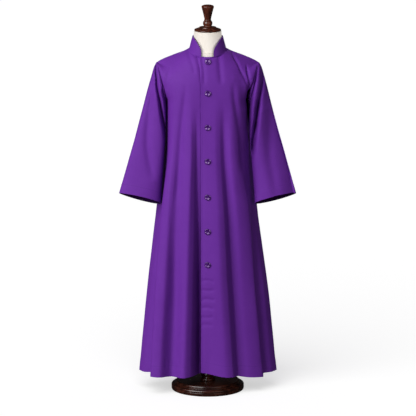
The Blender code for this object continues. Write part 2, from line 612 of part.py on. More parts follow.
COLUMN_PROFILE = (
    (0.0300, FORM_BOTTOM - GAP), (0.0300, 0.7880), (0.0240, 0.7800), (COLUMN_RADIUS, 0.7600),
    (COLUMN_RADIUS, 0.0920), (0.0240, 0.0800), (0.0290, 0.0730), (0.0310, 0.0660), (0.0290, 0.0590),
    (0.0255, 0.0545), (0.0270, 0.0505), (0.0335, 0.0475), (0.0345, 0.0440),
    (0.0335, PLINTH_FLOOR + GAP),
)
PLINTH_PROFILE = (
    (0.1290, PLINTH_FLOOR), (0.1320, PLINTH_TOP - 0.0012), (0.1355, PLINTH_TOP),
    (0.1395, PLINTH_TOP - 0.0016), (0.1415, PLINTH_TOP - 0.0052), (0.1400, PLINTH_TOP - 0.0084),
    (0.1425, PLINTH_TOP - 0.0108), (PLINTH_RADIUS, PLINTH_TOP - 0.0128),
    (PLINTH_RADIUS, BASE_HEIGHT + GAP),
)
BASE_PROFILE = (
    (0.1545, BASE_HEIGHT), (0.1585, BASE_HEIGHT - 0.0012), (0.1605, BASE_HEIGHT - 0.0045),
    (BASE_RADIUS, BASE_HEIGHT - 0.0090), (BASE_RADIUS, 0.0050), (0.1585, 0.0),
)

turned("finial", FINIAL_PROFILE, WOOD, 24)
turned("neck_cap", NECK_CAP_PROFILE, WOOD, 32)
turned("column", COLUMN_PROFILE, WOOD, 24)
turned("plinth", PLINTH_PROFILE, WOOD, 48)
turned("base", BASE_PROFILE, WOOD, 48)
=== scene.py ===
from collections import namedtuple
from math import pi, radians, tau

import bpy
import numpy as np
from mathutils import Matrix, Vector


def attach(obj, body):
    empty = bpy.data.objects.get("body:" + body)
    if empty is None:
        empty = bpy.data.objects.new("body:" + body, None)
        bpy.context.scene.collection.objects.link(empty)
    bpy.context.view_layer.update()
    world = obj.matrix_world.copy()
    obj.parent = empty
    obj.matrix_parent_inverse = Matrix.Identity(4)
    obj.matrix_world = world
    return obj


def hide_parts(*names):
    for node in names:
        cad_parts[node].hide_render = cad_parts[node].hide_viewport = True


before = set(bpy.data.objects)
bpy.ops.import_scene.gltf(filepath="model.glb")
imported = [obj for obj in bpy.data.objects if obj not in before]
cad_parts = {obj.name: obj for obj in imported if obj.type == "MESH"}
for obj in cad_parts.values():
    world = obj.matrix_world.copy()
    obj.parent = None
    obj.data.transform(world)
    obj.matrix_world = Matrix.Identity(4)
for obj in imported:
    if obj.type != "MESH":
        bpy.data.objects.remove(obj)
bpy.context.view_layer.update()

# A cassock worn by a limbless dress form on a turned wooden stand.  +Z is up, -Y the front
# of the garment and +X the wearer's left.  Every CAD node is replaced by a finer piece of
# the same form, and all of them ride on the one body.  Values are in metres, apart from
# the tables of sections, folds, creases and turned profiles, which are in millimetres.


# ------------------------------------------------------------------ studio
# A plain white floor without a horizon, and the camera.  Soft boxes light the cloth from
# the front left, the front right and behind; the buttons have a glint and the form's neck
# two boxes of their own, and one overhead light throws the only shadow on the floor.

CAMERA_PLACE = Vector((0.0, -16.0, 4.1))
CAMERA_AIM = Vector((0.0013, 0.0, 0.818))
CAMERA_LENS = 320.4
GARMENT_MIDDLE = 0.9
FLOOR_SIDE = 120.0
FLOOR_GREY = (0.6, 0.6, 0.6, 1.0)
WHITE = (1.0, 1.0, 1.0, 1.0)
FLOOR_GLOW = 0.57
# How bright the surroundings are to the camera, as light, and in the object's gloss.
BACKDROP_GLOW = 0.99
AMBIENT = 0.17
REFLECTED = 0.02
OVERHEAD = {"brightness": 2.3, "spread": 55, "azimuth": -22, "elevation": 50}
# Each box: what it lights, its brightness in W/m2, its side, and where it stands.
Box = namedtuple("Box", "name lights brightness side distance azimuth elevation")
SOFT_BOXES = (
    Box("key", "model", 4.7, 9.0, 11.0, -44, 27),
    Box("fill", "model", 0.42, 6.0, 9.0, 30, 12),
    Box("behind", "model", 1.7, 6.0, 9.0, 168, 24),
    Box("glint", "trimmings", 4.4, 5.0, 9.0, 52, 20),
    Box("neck key", "form", 3.45, 8.0, 9.0, -55, 22),
    Box("neck fill", "form", 2.25, 8.0, 9.0, 42, 15),
)

scene = bpy.context.scene
scene.view_settings.view_transform = "Standard"
groups = {name: bpy.data.collections.new(name)
          for name in ("model", "trimmings", "form", "lit floor")}
model, trimmings, form, lit_floor = groups.values()
scene.collection.children.link(model)
model.children.link(trimmings)
scene.collection.children.link(form)

camera = bpy.data.objects.new("camera", bpy.data.cameras.new("camera"))
camera.data.lens = CAMERA_LENS
camera.data.clip_end = 400
camera.location = CAMERA_PLACE
camera.rotation_euler = (CAMERA_AIM - CAMERA_PLACE).to_track_quat("-Z", "Y").to_euler()
scene.collection.objects.link(camera)
scene.camera = camera


def lamp(name, kind, azimuth, elevation, distance=1.0):
    """A light that shines on the middle of the garment.  Azimuth 0 stands on the camera's
    side, and a negative one to the camera's left."""
    light = bpy.data.objects.new(name, bpy.data.lights.new(name, kind))
    turn, level = radians(azimuth), np.cos(radians(elevation))
    place = Vector((level * np.sin(turn), -level * np.cos(turn), np.sin(radians(elevation))))
    light.location = place * distance + Vector((0.0, 0.0, GARMENT_MIDDLE))
    light.rotation_euler = (-place).to_track_quat("-Z", "Y").to_euler()
    scene.collection.objects.link(light)
    return light


for box in SOFT_BOXES:
    light = lamp(box.name, "AREA", box.azimuth, box.elevation, box.distance)
    light.data.size = box.side
    light.data.energy = box.brightness * pi * box.distance**2
    light.light_linking.receiver_collection = groups[box.lights]
    light.visible_glossy = box.name != "behind"

overhead = lamp("overhead", "SUN", OVERHEAD["azimuth"], OVERHEAD["elevation"])
overhead.data.energy = OVERHEAD["brightness"]
overhead.data.angle = radians(OVERHEAD["spread"])
overhead.light_linking.receiver_collection = lit_floor


class Wire:
    """A shader socket that can be reckoned with: an operator adds its Math node."""

    def __init__(self, finish, socket):
        self.finish, self.socket = finish, socket

    def math(self, operation, *others):
        """A Math node on this socket and the others."""
        values = dict(enumerate((self, *others)))
        return self.finish.node("ShaderNodeMath", {"operation": operation}, values)["Value"]

    def __add__(self, other):
        return self.math("ADD", other)

    def __sub__(self, other):
        return self.math("SUBTRACT", other)

    def __mul__(self, other):
        return self.math("MULTIPLY", other)

    def __rsub__(self, other):
        operands = {0: other, 1: self}
        return self.finish.node("ShaderNodeMath", {"operation": "SUBTRACT"}, operands)["Value"]

    __radd__ = __add__
    __rmul__ = __mul__


class Finish:
    """The nodes of one material or of the world, with a Principled shader in a material."""

    def __init__(self, name, even=None, owner=None):
        self.owner = owner or bpy.data.materials.new(name)
        self.owner.use_nodes = True
        self.tree = self.owner.node_tree
        self.shader = self.tree.nodes.get("Principled BSDF")
        for socket, value in (even or {}).items():
            self.shader.inputs[socket].default_value = value

    def node(self, kind, settings=None, values=None):
        """Adds a node: its settings first, then the values or links of its sockets."""
        made = self.tree.nodes.new(kind)
        for key, value in (settings or {}).items():
            setattr(made, key, value)
        for key, value in (values or {}).items():
            self.feed(made.inputs[key], value)
        return {**{output.name: Wire(self, output) for output in made.outputs},
                **{place: Wire(self, output) for place, output in enumerate(made.outputs)}}

    def feed(self, socket, value):
        """Links a wire to a socket, or sets its value."""
        if isinstance(value, Wire):
            self.tree.links.new(value.socket, socket)
        elif hasattr(value, "__len__") and len(value) == 3 and socket.type == "RGBA":
            socket.default_value = (*value, 1.0)
        else:
            socket.default_value = value

    def blend(self, first, second, share):
        """A colour that share of the way from the first to the second."""
        values = {0: share, 6: first, 7: second}
        return self.node("ShaderNodeMix", {"data_type": "RGBA"}, values)[2]

    def noise(self, place, scale, detail=2.0, roughness=0.5):
        """Cloudy noise from 0 to 1, with this many clouds to a metre."""
        values = {"Vector": place, "Scale": scale, "Detail": detail, "Roughness": roughness}
        return self.node("ShaderNodeTexNoise", None, values)["Fac"]

    def smooth(self, value, low, high):
        """0 below low, 1 above high, and an even S between them."""
        settings = {"interpolation_type": "SMOOTHSTEP"}
        values = {"Value": value, "From Min": low, "From Max": high}
        return self.node("ShaderNodeMapRange", settings, values)["Result"]

    def stretched_noise(self, place, scale, detail=2.0, roughness=0.5):
        """Noise with its own scale along each axis."""
        drawn_out = self.node("ShaderNodeMapping", None, {"Vector": place, "Scale": scale})
        return self.noise(drawn_out["Vector"], 1.0, detail, roughness)

    def surface(self, colour, roughness, height, relief):
        """Feeds the shader; height, from 0 to 1, stands for relief in metres."""
        values = {"Height": height, "Distance": relief, "Strength": 1.0}
        bump = self.node("ShaderNodeBump", None, values)["Normal"]
        for socket, value in (("Base Color", colour), ("Roughness", roughness), ("Normal", bump)):
            self.feed(self.shader.inputs[socket], value)
        return self.owner


studio = Finish("studio", owner=bpy.data.worlds.new("studio"))
scene.world = studio.owner
ray = studio.node("ShaderNodeLightPath")
glow = (ray["Is Camera Ray"] * (BACKDROP_GLOW - AMBIENT)
        + ray["Is Glossy Ray"] * (REFLECTED - AMBIENT) + AMBIENT)
studio.feed(studio.tree.nodes["Background"].inputs["Strength"], glow)
studio.tree.nodes["Background"].inputs["Color"].default_value = WHITE

floor_mesh = bpy.data.meshes.new("floor")
floor_corners = [(-1, -1, 0), (1, -1, 0), (1, 1, 0), (-1, 1, 0)]
floor_mesh.from_pydata(np.array(floor_corners) * FLOOR_SIDE / 2, [], [(0, 1, 2, 3)])
floor = bpy.data.objects.new("floor", floor_mesh)
floor.visible_diffuse = floor.visible_glossy = False
floor_paint = Finish("white floor", {"Base Color": FLOOR_GREY, "Roughness": 0.9,
                                     "Specular IOR Level": 0.0, "Emission Color": WHITE,
                                     "Emission Strength": FLOOR_GLOW})
floor_mesh.materials.append(floor_paint.owner)
scene.collection.objects.link(floor)
lit_floor.objects.link(floor)


# ------------------------------------------------------------------ left front
# The wearer's left front, cut in one piece of purple wool twill from neck to hem.  It laps
# over the right front, and its free edge hangs open below the last button.

# Millimetres in a metre.
MM = 1000
CLOTH = 0.0016
SEAM_INSET = 0.0003
ARMPIT = (0.1765, 1.305)
SHOULDER_POINT = (0.22, 1.469)
NECK_POINT = (0.08, 1.5275)
ARMHOLE_DEPTH = 0.064
SHOULDER_ARCH = 0.0052
HEM_DEPTH = 0.05
HEM_THICKENING = 0.0007
HEM_SOFTNESS = 0.0012
EDGE_STITCHING = 0.006
# How far the cloth rolls in beside a seam, and over what width: everywhere, and round the
# armhole, which it reaches over a short run.
SEAM_ROLL = (0.0011, 0.0022)
ARMHOLE_ROLL = (0.0034, 0.004)
ARMHOLE_ROLL_RUN = 0.02
# Bends are eased over this many rows, from a little way off a seam to full strength.
EASED_ROWS = 5
EASED_FROM, EASED_OVER = 0.006, 0.05
NECK_FADE = 0.005
# Rows up the cloth, and closer ones within a reach of the neck's edge.
ROWS = 225
NECK_ROWS = 30
NECK_REACH = 0.032
FRONT_COLUMNS = 170
NEAR_EDGE = (0.0008, 0.002, 0.0035)
FOLD_SHARPNESS = radians(50)
PURPLE = (0.126, 0.0235, 0.286)
PURPLE_SHADE = (0.106, 0.0185, 0.248)
THREAD = (0.06, 0.011, 0.15)
TWILL_RIB = 0.0009
TWILL_SLANT = (0.8, 1.15)
TWILL_RELIEF = 0.00022
TWILL_SHEEN = {"Specular IOR Level": 0.12, "Sheen Weight": 0.06, "Sheen Roughness": 0.45,
               "Sheen Tint": (0.55, 0.16, 0.95, 1.0)}
STITCH = 0.0032
STITCH_EDGES = (0.0004, 0.0011)
STITCH_GAPS = (-0.75, -0.35)
# Dark purples of the cloth's inner face: painted shade for the hollows inside the sleeves and the
# skirt.
INSIDE_PAINTED_SHADE_DARK, INSIDE_PAINTED_SHADE_LIGHT = (0.012, 0.0022, 0.028), (0.02, 0.0036, 0.046)
INSIDE_RELIEF = 0.0001
# Waves of the small soft bulges: radians a metre along x, y and z, and share of the height.
BULGE_HEIGHT = 0.00035
BULGES = ((31, 0, 6, 1.0), (47, 20, -9, 1.0), (14, 0, 18, 0.7), (83, 0, 11, 0.5), (-26, 0, 37, 0.4))

# Level sections above the underarm, half of the garment each: the centre line's place, how
# far the curve holds its direction at both ends, and the direction in which it arrives.
Section = namedtuple("Section", "station centre_y centre_z pull_centre pull_edge arrive")
FRONT_SECTIONS = (
    Section(0.0, -120.5, 1318, 124, 112, (0.0, 1.0, 0.0)),
    Section(0.5, -119, 1345, 116, 68, (0.3, 0.95, 0.0)),
    Section(1.0, -116, 1388, 104, 52, (0.7, 0.7, 0.1)),
    Section(1.5, -110, 1424, 95, 60, (0.72, 0.66, 0.2)),
    Section(2.0, -103.5, 1448, 92, 78, (0.55, 0.78, 0.3)),
    Section(2.5, -91.5, 1478, 62, 66, (0.26, 0.93, 0.26)),
    Section(3.0, -78, 1504, 44, 43, (0.0, 0.99, 0.14)),
)
SKIRT_LEVELS = {"knee": 433, "waist": 820, "ribs": 1147}
HEM_LEVEL = 84
# A fold's place across the chest, its (x, y) at the ribs, waist, knee and hem, and the
# height of its hem.
Fold = namedtuple("Fold", "name across ribs waist knee hem hem_z")
LEFT_FRONT_FOLDS = (
    Fold("front edge", -0.09, (-28, -121), (-28, -120.5), (-28, -121), (-29, -128), 102),
    Fold("button line", 0.0, (1, -123), (1, -127.5), (2, -127.5), (4, -131), 97),
    Fold("front crest", 0.09, (30, -124.5), (41, -132), (56, -134.5), (76, -143), 84),
    Fold("crest's side", 0.15, (50, -119.5), (67, -123), (86, -123), (109, -133), 82),
    Fold("front hollow", 0.21, (71, -108), (92, -93), (117, -80), (138, -90), 77),
    Fold("broad crest", 0.32, (99, -116), (127, -103), (152, -83), (176, -90), 72),
    Fold("side crest", 0.43, (127, -104), (182, -71), (211, -59), (245, -62), 67),
    Fold("side hollow", 0.56, (149, -82), (187, -42), (211, -32), (245, -33), 75),
    Fold("side panel", 0.78, (168, -46), (200, -13), (251, -6), (281, -14), 77),
    Fold("side seam", 1.0, (187, 54), (218, 40), (270, 30), (306, 20), 78),
)

# Creases are lines pressed into the cloth.  A row is a crease's width, its depth and the
# (x, z) points that it runs through, as seen from the front.
CREASE_FADE = 0.25
LEFT_FRONT_CREASES = (
    (12, 4.6, ((48, 1545), (50.8, 1488), (54, 1450), (57.8, 1414), (61, 1385))),
    (9, 3, ((-30, 1530), (-23, 1488.5), (-18, 1455), (-15, 1422.3), (-14, 1385))),
    (5, 5.6, ((101, 1523), (112, 1502.7), (128, 1477), (143, 1449), (165, 1408.5), (179, 1372),
              (182, 1335))),
    (4, 3, ((10, 1499), (30, 1502.5), (50, 1508), (65, 1514), (78, 1521.5), (95, 1535))),
    (5, 9, ((168, 1468), (174.5, 1436), (181, 1407), (187.5, 1381), (186.5, 1355),
            (183.5, 1329), (180, 1290))),
    (10, 5.5, ((181, 1380), (180, 1320), (178, 1250), (176, 1150))),
    (3, 1.4, ((-36, 1502), (-18, 1499), (0, 1498.5), (26, 1499))),
    (26, 6, ((148, 1470), (152, 1400), (160, 1350), (168, 1270))),
    (13, 6.4, ((112, 1400), (118, 1320), (133, 1235), (145, 1147), (157, 980))),
    (5, 2.6, ((-30, 515.2), (0, 520), (30, 512))),
    (5, 3, ((-31, 474.7), (2, 472), (32, 476))),
    (5, 3.6, ((-31, 431), (0, 435), (34, 429))),
    (5, 3.6, ((-32, 393.4), (0, 397), (30, 389))),
    (5, 3, ((-32, 352.7), (0, 351), (28, 355))),
    (5, 2.4, ((-32, 316.5), (0, 319), (24, 314))),
)


def steady(knots, values, at):
    """Smooth curve through the values that never swings past them: cubic pieces whose
    slope at a knot is the harmonic mean of the slopes beside it, or level at a turn."""
    knots, values, at = (np.asarray(numbers, float) for numbers in (knots, values, at))
    shape = (-1,) + (1,) * (values.ndim - 1)
    spans = np.diff(knots).reshape(shape)
    rises = np.diff(values, axis=0) / spans
    before, after = rises[:-1], rises[1:]
    weight_before, weight_after = 2 * spans[1:] + spans[:-1], spans[1:] + 2 * spans[:-1]
    same_way = before * after > 0
    before, after = np.where(same_way, before, 1.0), np.where(same_way, after, 1.0)
    mean = (weight_before + weight_after) / (weight_before / before + weight_after / after)
    slopes = np.concatenate([rises[:1], np.where(same_way, mean, 0.0), rises[-1:]])
    low = np.clip(np.searchsorted(knots, at, side="right") - 1, 0, len(knots) - 2)
    span = spans[low]
    t = (at - knots[low]).reshape(shape) / span
    return ((2 * t**3 - 3 * t**2 + 1) * values[low] + (t**3 - 2 * t**2 + t) * span * slopes[low]
            + (3 * t**2 - 2 * t**3) * values[low + 1] + (t**3 - t**2) * span * slopes[low + 1])


def edge_point(station, side):
    """Outer edge of a section: round the armhole's ellipse up to station 2, then along
    the shoulder seam, which arches a little.  side is -1 for the front and +1 for the
    back."""
    armpit, shoulder, neck = np.array(ARMPIT), np.array(SHOULDER_POINT), np.array(NECK_POINT)
    if station <= 2:
        turn = station * pi / 2
        x, z = (armpit + shoulder) / 2 + (armpit - shoulder) / 2 * np.cos(turn)
        return np.array([x, side * ARMHOLE_DEPTH * np.sin(turn), z])
    x, z = shoulder + (station - 2) * (neck - shoulder)
    return np.array([x, 0.0, z + SHOULDER_ARCH * np.sin((station - 2) * pi)])


# Stations go up from the underarm, 0, to the shoulder point, 2, and the neck, 3.  Places of
# a net's rows up the cloth are the hem, knee, waist and ribs, then the stations.
STATIONS = np.concatenate([np.arange(0, 2.01, 0.25), (2.5, 3.0)])
STATION_RISE = 0.085
ROW_PLACE = np.concatenate([np.array((HEM_LEVEL, *SKIRT_LEVELS.values())) / MM,
                            ARMPIT[1] + STATION_RISE * STATIONS])
UNDERARM_ROW = 4


def section_curve(values, station, across, side):
    """Half a section as one cubic Bezier curve from the centre line to the outer edge,
    read at the places in across, and mirrored past 0."""
    centre_y, centre_z, pull_centre, pull_edge = values[:4] / MM
    arrive = values[4:] / np.linalg.norm(values[4:])
    t = np.abs(across)[:, None]
    start = np.array([0.0, centre_y, centre_z])
    end = edge_point(station, side)
    leave = start + (pull_centre, 0.0, 0.0)
    reach = end - pull_edge * arrive
    curve = ((1 - t)**3 * start + 3 * (1 - t)**2 * t * leave
             + 3 * (1 - t) * t**2 * reach + t**3 * end)
    curve[:, 0] *= np.where(across < 0, -1.0, 1.0)
    return curve


def section_values(section):
    """A section's numbers after its station, in one row."""
    return np.array([*section[1:-1], *section.arrive])


def body_net(sections, folds, side):
    """Control points of a body piece: a row for each level from hem to neck, and a column
    for each fold."""
    across = np.array([fold.across for fold in folds])
    skirt = [[(*fold.hem, fold.hem_z) for fold in folds]]
    skirt += [[(*getattr(fold, name), level) for fold in folds]
              for name, level in SKIRT_LEVELS.items()]
    table = steady([section.station for section in sections],
                   [section_values(section) for section in sections], STATIONS)
    bodice = [section_curve(values, station, across, side)
              for station, values in zip(STATIONS, table)]
    return np.concatenate([np.array(skirt) / MM, bodice])


def column_places(net):
    """Mean distance of a net's columns from the first one, along the cloth."""
    steps = np.linalg.norm(np.diff(net, axis=1), axis=2).mean(axis=0)
    return np.concatenate([[0.0], np.cumsum(steps)])


def patch(net, rows_at, columns_at, seams):
    """Points of the smooth surface through a net, at places up the cloth and shares of
    its columns.  Beside the side seams, listed as edge columns, the cloth turns a corner
    into the armhole at the underarm row."""
    places = column_places(net)
    columns_at = np.asarray(columns_at, float)
    across = steady(places, np.swapaxes(net, 0, 1),
                    np.interp(columns_at, np.arange(len(places)), places))
    across = np.swapaxes(across, 0, 1)
    smooth = steady(ROW_PLACE, across, rows_at)
    under = rows_at <= ROW_PLACE[UNDERARM_ROW]
    turned_in = np.concatenate([
        steady(ROW_PLACE[:UNDERARM_ROW + 1], across[:UNDERARM_ROW + 1], rows_at[under]),
        steady(ROW_PLACE[UNDERARM_ROW:], across[UNDERARM_ROW:], rows_at[~under])])
    nearness = np.min([np.abs(columns_at - seam % len(places)) for seam in seams], axis=0)
    corner = np.clip(1 - nearness, 0, 1)[None, :, None]
    return smooth + corner * (turned_in - smooth)


def even_columns(net, count):
    """Shares of a net's columns that stand evenly along the cloth, and closer together in
    the last few millimetres at both edges."""
    places = column_places(net)
    near = np.array(NEAR_EDGE)
    even = np.linspace(0, places[-1], count)
    wanted = np.sort(np.concatenate([even, near, places[-1] - near]))
    return np.interp(wanted, places, np.arange(len(places)))


def even_step(share):
    """An even S from 0 to 1: 3s^2 - 2s^3."""
    return share * share * (3 - 2 * share)


def settled(grid, seams):
    """The grid with its bends eased up the cloth: every point is averaged with its
    neighbours by a bell curve, EASED_ROWS wide, except near the listed seam columns and
    the two ends, which stay on their lines."""
    reach = 3 * EASED_ROWS
    bell = np.exp(-(np.arange(-reach, reach + 1) / EASED_ROWS)**2 / 2)
    bell /= bell.sum()
    padded = np.pad(grid, ((reach, reach), (0, 0), (0, 0)), mode="reflect", reflect_type="odd")
    eased = sum(weight * padded[step:step + len(grid)] for step, weight in enumerate(bell))
    across = distances(grid)[0]
    share = np.ones(grid.shape[:2])
    for seam in seams:
        off = np.abs(across - across[:, seam][:, None])
        share *= np.clip((off - EASED_FROM) / EASED_OVER, 0, 1)
    return grid + even_step(share)[..., None] * (eased - grid)


def facing(grid, wrap=False):
    """Unit normals of a grid of points, from its differences along rows and columns."""
    along_rows = np.gradient(grid, axis=0)
    if wrap:
        along_columns = (np.roll(grid, -1, axis=1) - np.roll(grid, 1, axis=1)) / 2
    else:
        along_columns = np.gradient(grid, axis=1)
    normals = np.cross(along_columns, along_rows)
    return normals / np.linalg.norm(normals, axis=2, keepdims=True)


def pressed(grid, creases):
    """How far the creases press a surface in: across each one a groove exp(-r^2), with r
    the distance in widths, that fades out over CREASE_FADE of its length at both ends."""
    x, z = grid[..., 0], grid[..., 2]
    total = np.zeros_like(x)
    for width, depth, path in creases:
        path = np.array(path) / MM
        run = np.diff(path, axis=0)
        lengths = np.linalg.norm(run, axis=1)
        offset_x, offset_z = x[..., None] - path[:-1, 0], z[..., None] - path[:-1, 1]
        along = np.clip((offset_x * run[:, 0] + offset_z * run[:, 1]) / lengths**2, 0, 1)
        away = np.hypot(offset_x - along * run[:, 0], offset_z - along * run[:, 1])
        nearest = away.argmin(-1)[..., None]
        ratio = np.take_along_axis(away, nearest, -1)[..., 0] / (width / MM)
        travelled = np.cumsum(lengths) - lengths + along * lengths
        share = np.take_along_axis(travelled, nearest, -1)[..., 0] / lengths.sum()
        ends = np.clip(share / CREASE_FADE, 0, 1) * np.clip((1 - share) / CREASE_FADE, 0, 1)
        total += depth / MM * np.exp(-ratio**2) * ends * (2 - ends)
    return total


def unevenness(grid, seed):
    """The small soft bulges of hanging cloth: a sum of long slanting waves, each with its
    own phase."""
    phases = np.random.default_rng(seed).uniform(0, tau, len(BULGES))
    return BULGE_HEIGHT * sum(share * np.sin(grid @ turns + phase)
                              for (*turns, share), phase in zip(BULGES, phases))


def distances(grid):
    """Distance of every grid point from the first column, and from the first row."""
    across = np.linalg.norm(np.diff(grid, axis=1), axis=2)
    up = np.linalg.norm(np.diff(grid, axis=0), axis=2)
    return (np.pad(np.cumsum(across, axis=1), ((0, 0), (1, 0))),
            np.pad(np.cumsum(up, axis=0), ((1, 0), (0, 0))))


def cloth_wall(name, inner, marks, thickness, outward=1, wrap=False, inside=None):
    """A sheet with real thickness on a grid of inner points, duller on its inner side, which is
    painted dark as shade unless another inside finish is given.
    Its UV map holds metres across and up the cloth; marks are further distances, one
    number a point.  A wrapped grid closes into a tube."""
    rows, columns = inner.shape[:2]
    thickness = np.broadcast_to(thickness, (rows, columns))[..., None]
    outer = inner + outward * thickness * facing(inner, wrap)
    # Corners are numbered on a grid that repeats the first column of a tube at its end.
    repeat = ((0, 0), (0, int(wrap)))
    vertex_of = np.pad(np.arange(rows * columns).reshape(rows, columns), repeat, mode="wrap")
    layer = vertex_of.size
    corner = np.arange(layer).reshape(vertex_of.shape)
    a, b = corner[:-1, :-1].ravel(), corner[:-1, 1:].ravel()
    c, d = corner[1:, 1:].ravel(), corner[1:, :-1].ravel()
    faces = [np.stack([a, b, c, d], 1) + layer, np.stack([a, d, c, b], 1)]
    borders = [corner[0], corner[-1, ::-1]]
    if not wrap:
        borders = [np.concatenate([corner[0], corner[1:, -1], corner[-1, -2::-1],
                                   corner[-2::-1, 0]])]
    for line in borders:
        faces.append(np.stack([line[:-1], line[1:], line[1:] + layer, line[:-1] + layer], 1))
    faces = np.concatenate(faces)
    if outward < 0:
        faces = faces[:, ::-1]
    to_vertex = np.concatenate([vertex_of.ravel(), vertex_of.ravel() + rows * columns])
    mesh = bpy.data.meshes.new(name)
    points = np.concatenate([inner.reshape(-1, 3), outer.reshape(-1, 3)])
    mesh.from_pydata(points, [], to_vertex[faces].tolist())
    is_inside = np.zeros(len(faces), np.int32)
    is_inside[len(a):2 * len(a)] = 1
    mesh.polygons.foreach_set("material_index", is_inside)
    across, up = distances(np.pad(inner, (*repeat, (0, 0)), mode="wrap"))
    metres = np.stack([across.ravel(), up.ravel()], 1)
    uv = mesh.uv_layers.new(name="cloth")
    uv.data.foreach_set("uv", np.tile(metres, (2, 1))[faces.ravel()].ravel().astype(np.float32))
    for mark, values in marks.items():
        layer_of = mesh.attributes.new(mark, "FLOAT", "POINT")
        layer_of.data.foreach_set("value", np.tile(values.ravel(), 2).astype(np.float32))
    return placed(mesh, FOLD_SHARPNESS, model, cassock_cloth, inside or cassock_painted_shade_inside)


def placed(mesh, sharpness, collection, *materials):
    """The piece of a finished mesh: shaded smooth up to a sharpness, and riding on root."""
    mesh.shade_smooth()
    mesh.set_sharp_from_angle(angle=sharpness)
    for material in materials:
        mesh.materials.append(material)
    piece = bpy.data.objects.new(mesh.name, mesh)
    collection.objects.link(piece)
    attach(piece, "root")
    return piece


def painted_shade_inside_finish():
    """The dull inner face of the cloth: a plain dark purple painted as the shade inside the sleeves
    and the skirt, with a faint uneven weft.
    """
    finish = Finish("cassock inside painted shade", {"Specular IOR Level": 0.05})
    metres = finish.node("ShaderNodeUVMap", {"uv_map": "cloth"})["UV"]
    weft = finish.stretched_noise(metres, (180.0, 2200.0, 1.0))
    warp = finish.stretched_noise(metres, (2200.0, 180.0, 1.0))
    colour = finish.blend(INSIDE_PAINTED_SHADE_DARK, INSIDE_PAINTED_SHADE_LIGHT, finish.smooth(weft + warp, 0.7, 1.3))
    return finish.surface(colour, weft * 0.15 + 0.75, weft * 0.5 + warp * 0.5, INSIDE_RELIEF)


def twill_finish():
    """Fine wool twill: slanting ribs with uneven yarns, broad soft changes of shade, and a
    sewn line of stitches wherever a mark crosses 0."""
    finish = Finish("cassock twill", TWILL_SHEEN)
    metres = finish.node("ShaderNodeUVMap", {"uv_map": "cloth"})["UV"]
    place = finish.node("ShaderNodeTexCoord")["Object"]
    apart = finish.node("ShaderNodeSeparateXYZ", None, {0: metres})
    across, up = apart["X"], apart["Y"]
    slant = across * TWILL_SLANT[0] + up * TWILL_SLANT[1]
    rib = (slant * (tau / TWILL_RIB)).math("SINE") * 0.5 + 0.5
    yarns = finish.stretched_noise(metres, (1600.0, 220.0, 1.0))
    bloom = finish.noise(place, 5.5, 3.0)
    mottle = finish.noise(place, 38.0, 2.0)
    shade = rib * 0.3 + yarns * 0.35 + bloom * 0.45 + mottle * 0.22
    cloth = finish.blend(PURPLE_SHADE, PURPLE, finish.smooth(shade, 0.38, 0.92))
    stitched = None
    for mark, run in (("hem_line", across), ("edge_line", up)):
        off = finish.node("ShaderNodeAttribute", {"attribute_name": mark})["Fac"]
        line = 1 - finish.smooth(off.math("ABSOLUTE"), *STITCH_EDGES)
        dash = finish.smooth((run * (tau / STITCH)).math("SINE"), *STITCH_GAPS)
        sewn = line * dash
        stitched = sewn if stitched is None else stitched.math("MAXIMUM", sewn)
    height = rib * 0.35 + yarns * 0.35 + (1 - stitched) * 0.3
    return finish.surface(finish.blend(cloth, THREAD, stitched * 0.65), yarns * 0.1 + 0.58,
                          height, TWILL_RELIEF)


def sewing_marks(grid, hem_from=None, edges=()):
    """Distances to the sewn lines: 0 on the line along the hem, and on the line beside
    each edge, given as (column, distance from the edge)."""
    across, up = distances(grid)
    far = np.full(grid.shape[:2], 1.0)
    hem_line = up - hem_from if hem_from else far
    edge_line = far
    for column, inset in edges:
        edge_line = np.minimum(edge_line, np.abs(across - across[:, column][:, None]) - inset)
    return {"hem_line": hem_line, "edge_line": edge_line}


def hemmed(grid, depth=HEM_DEPTH, from_last=False):
    """Thickness of the cloth, doubled softly over the turned-up hem."""
    up = distances(grid)[1]
    if from_last:
        up = up[-1] - up
    return CLOTH + HEM_THICKENING / (1 + np.exp((up - depth) / HEM_SOFTNESS))


def seam_roll(grid, columns, rows_at):
    """How far the cloth rolls in beside its seams, listed as edge columns: by bell curves,
    one everywhere and a deeper one round the armhole."""
    across = distances(grid)[0]
    above = np.clip((rows_at - ARMPIT[1]) / ARMHOLE_ROLL_RUN, 0, 1)
    below = np.clip((ARMPIT[1] + 2 * STATION_RISE - rows_at) / ARMHOLE_ROLL_RUN, 0, 1)
    round_armhole = (above * below)[:, None]
    roll = np.zeros(grid.shape[:2])
    for column in columns:
        off = across - across[:, column][:, None]
        for (depth, width), share in ((SEAM_ROLL, 1), (ARMHOLE_ROLL, round_armhole)):
            roll += depth * share * np.exp(-(off / width)**2)
    return roll


def drawn_in(grid, seams):
    """The grid with its seam columns moved in by SEAM_INSET."""
    grid = grid.copy()
    for edge in seams:
        inward = grid[:, 1 if edge == 0 else -2] - grid[:, edge]
        grid[:, edge] += SEAM_INSET * inward / np.linalg.norm(inward, axis=1, keepdims=True)
    return grid


def body_piece(name, grid, relief, rows_at, seams, stitched=(), outward=1):
    """A hemmed body piece on its grid: the relief stands out from it along its normals,
    less the roll beside the seams."""
    relief = relief - seam_roll(grid, seams, rows_at)
    inner = grid + relief[..., None] * outward * facing(grid)
    return cloth_wall(name, inner, sewing_marks(grid, HEM_DEPTH, stitched), hemmed(grid), outward)


cassock_cloth = twill_finish()
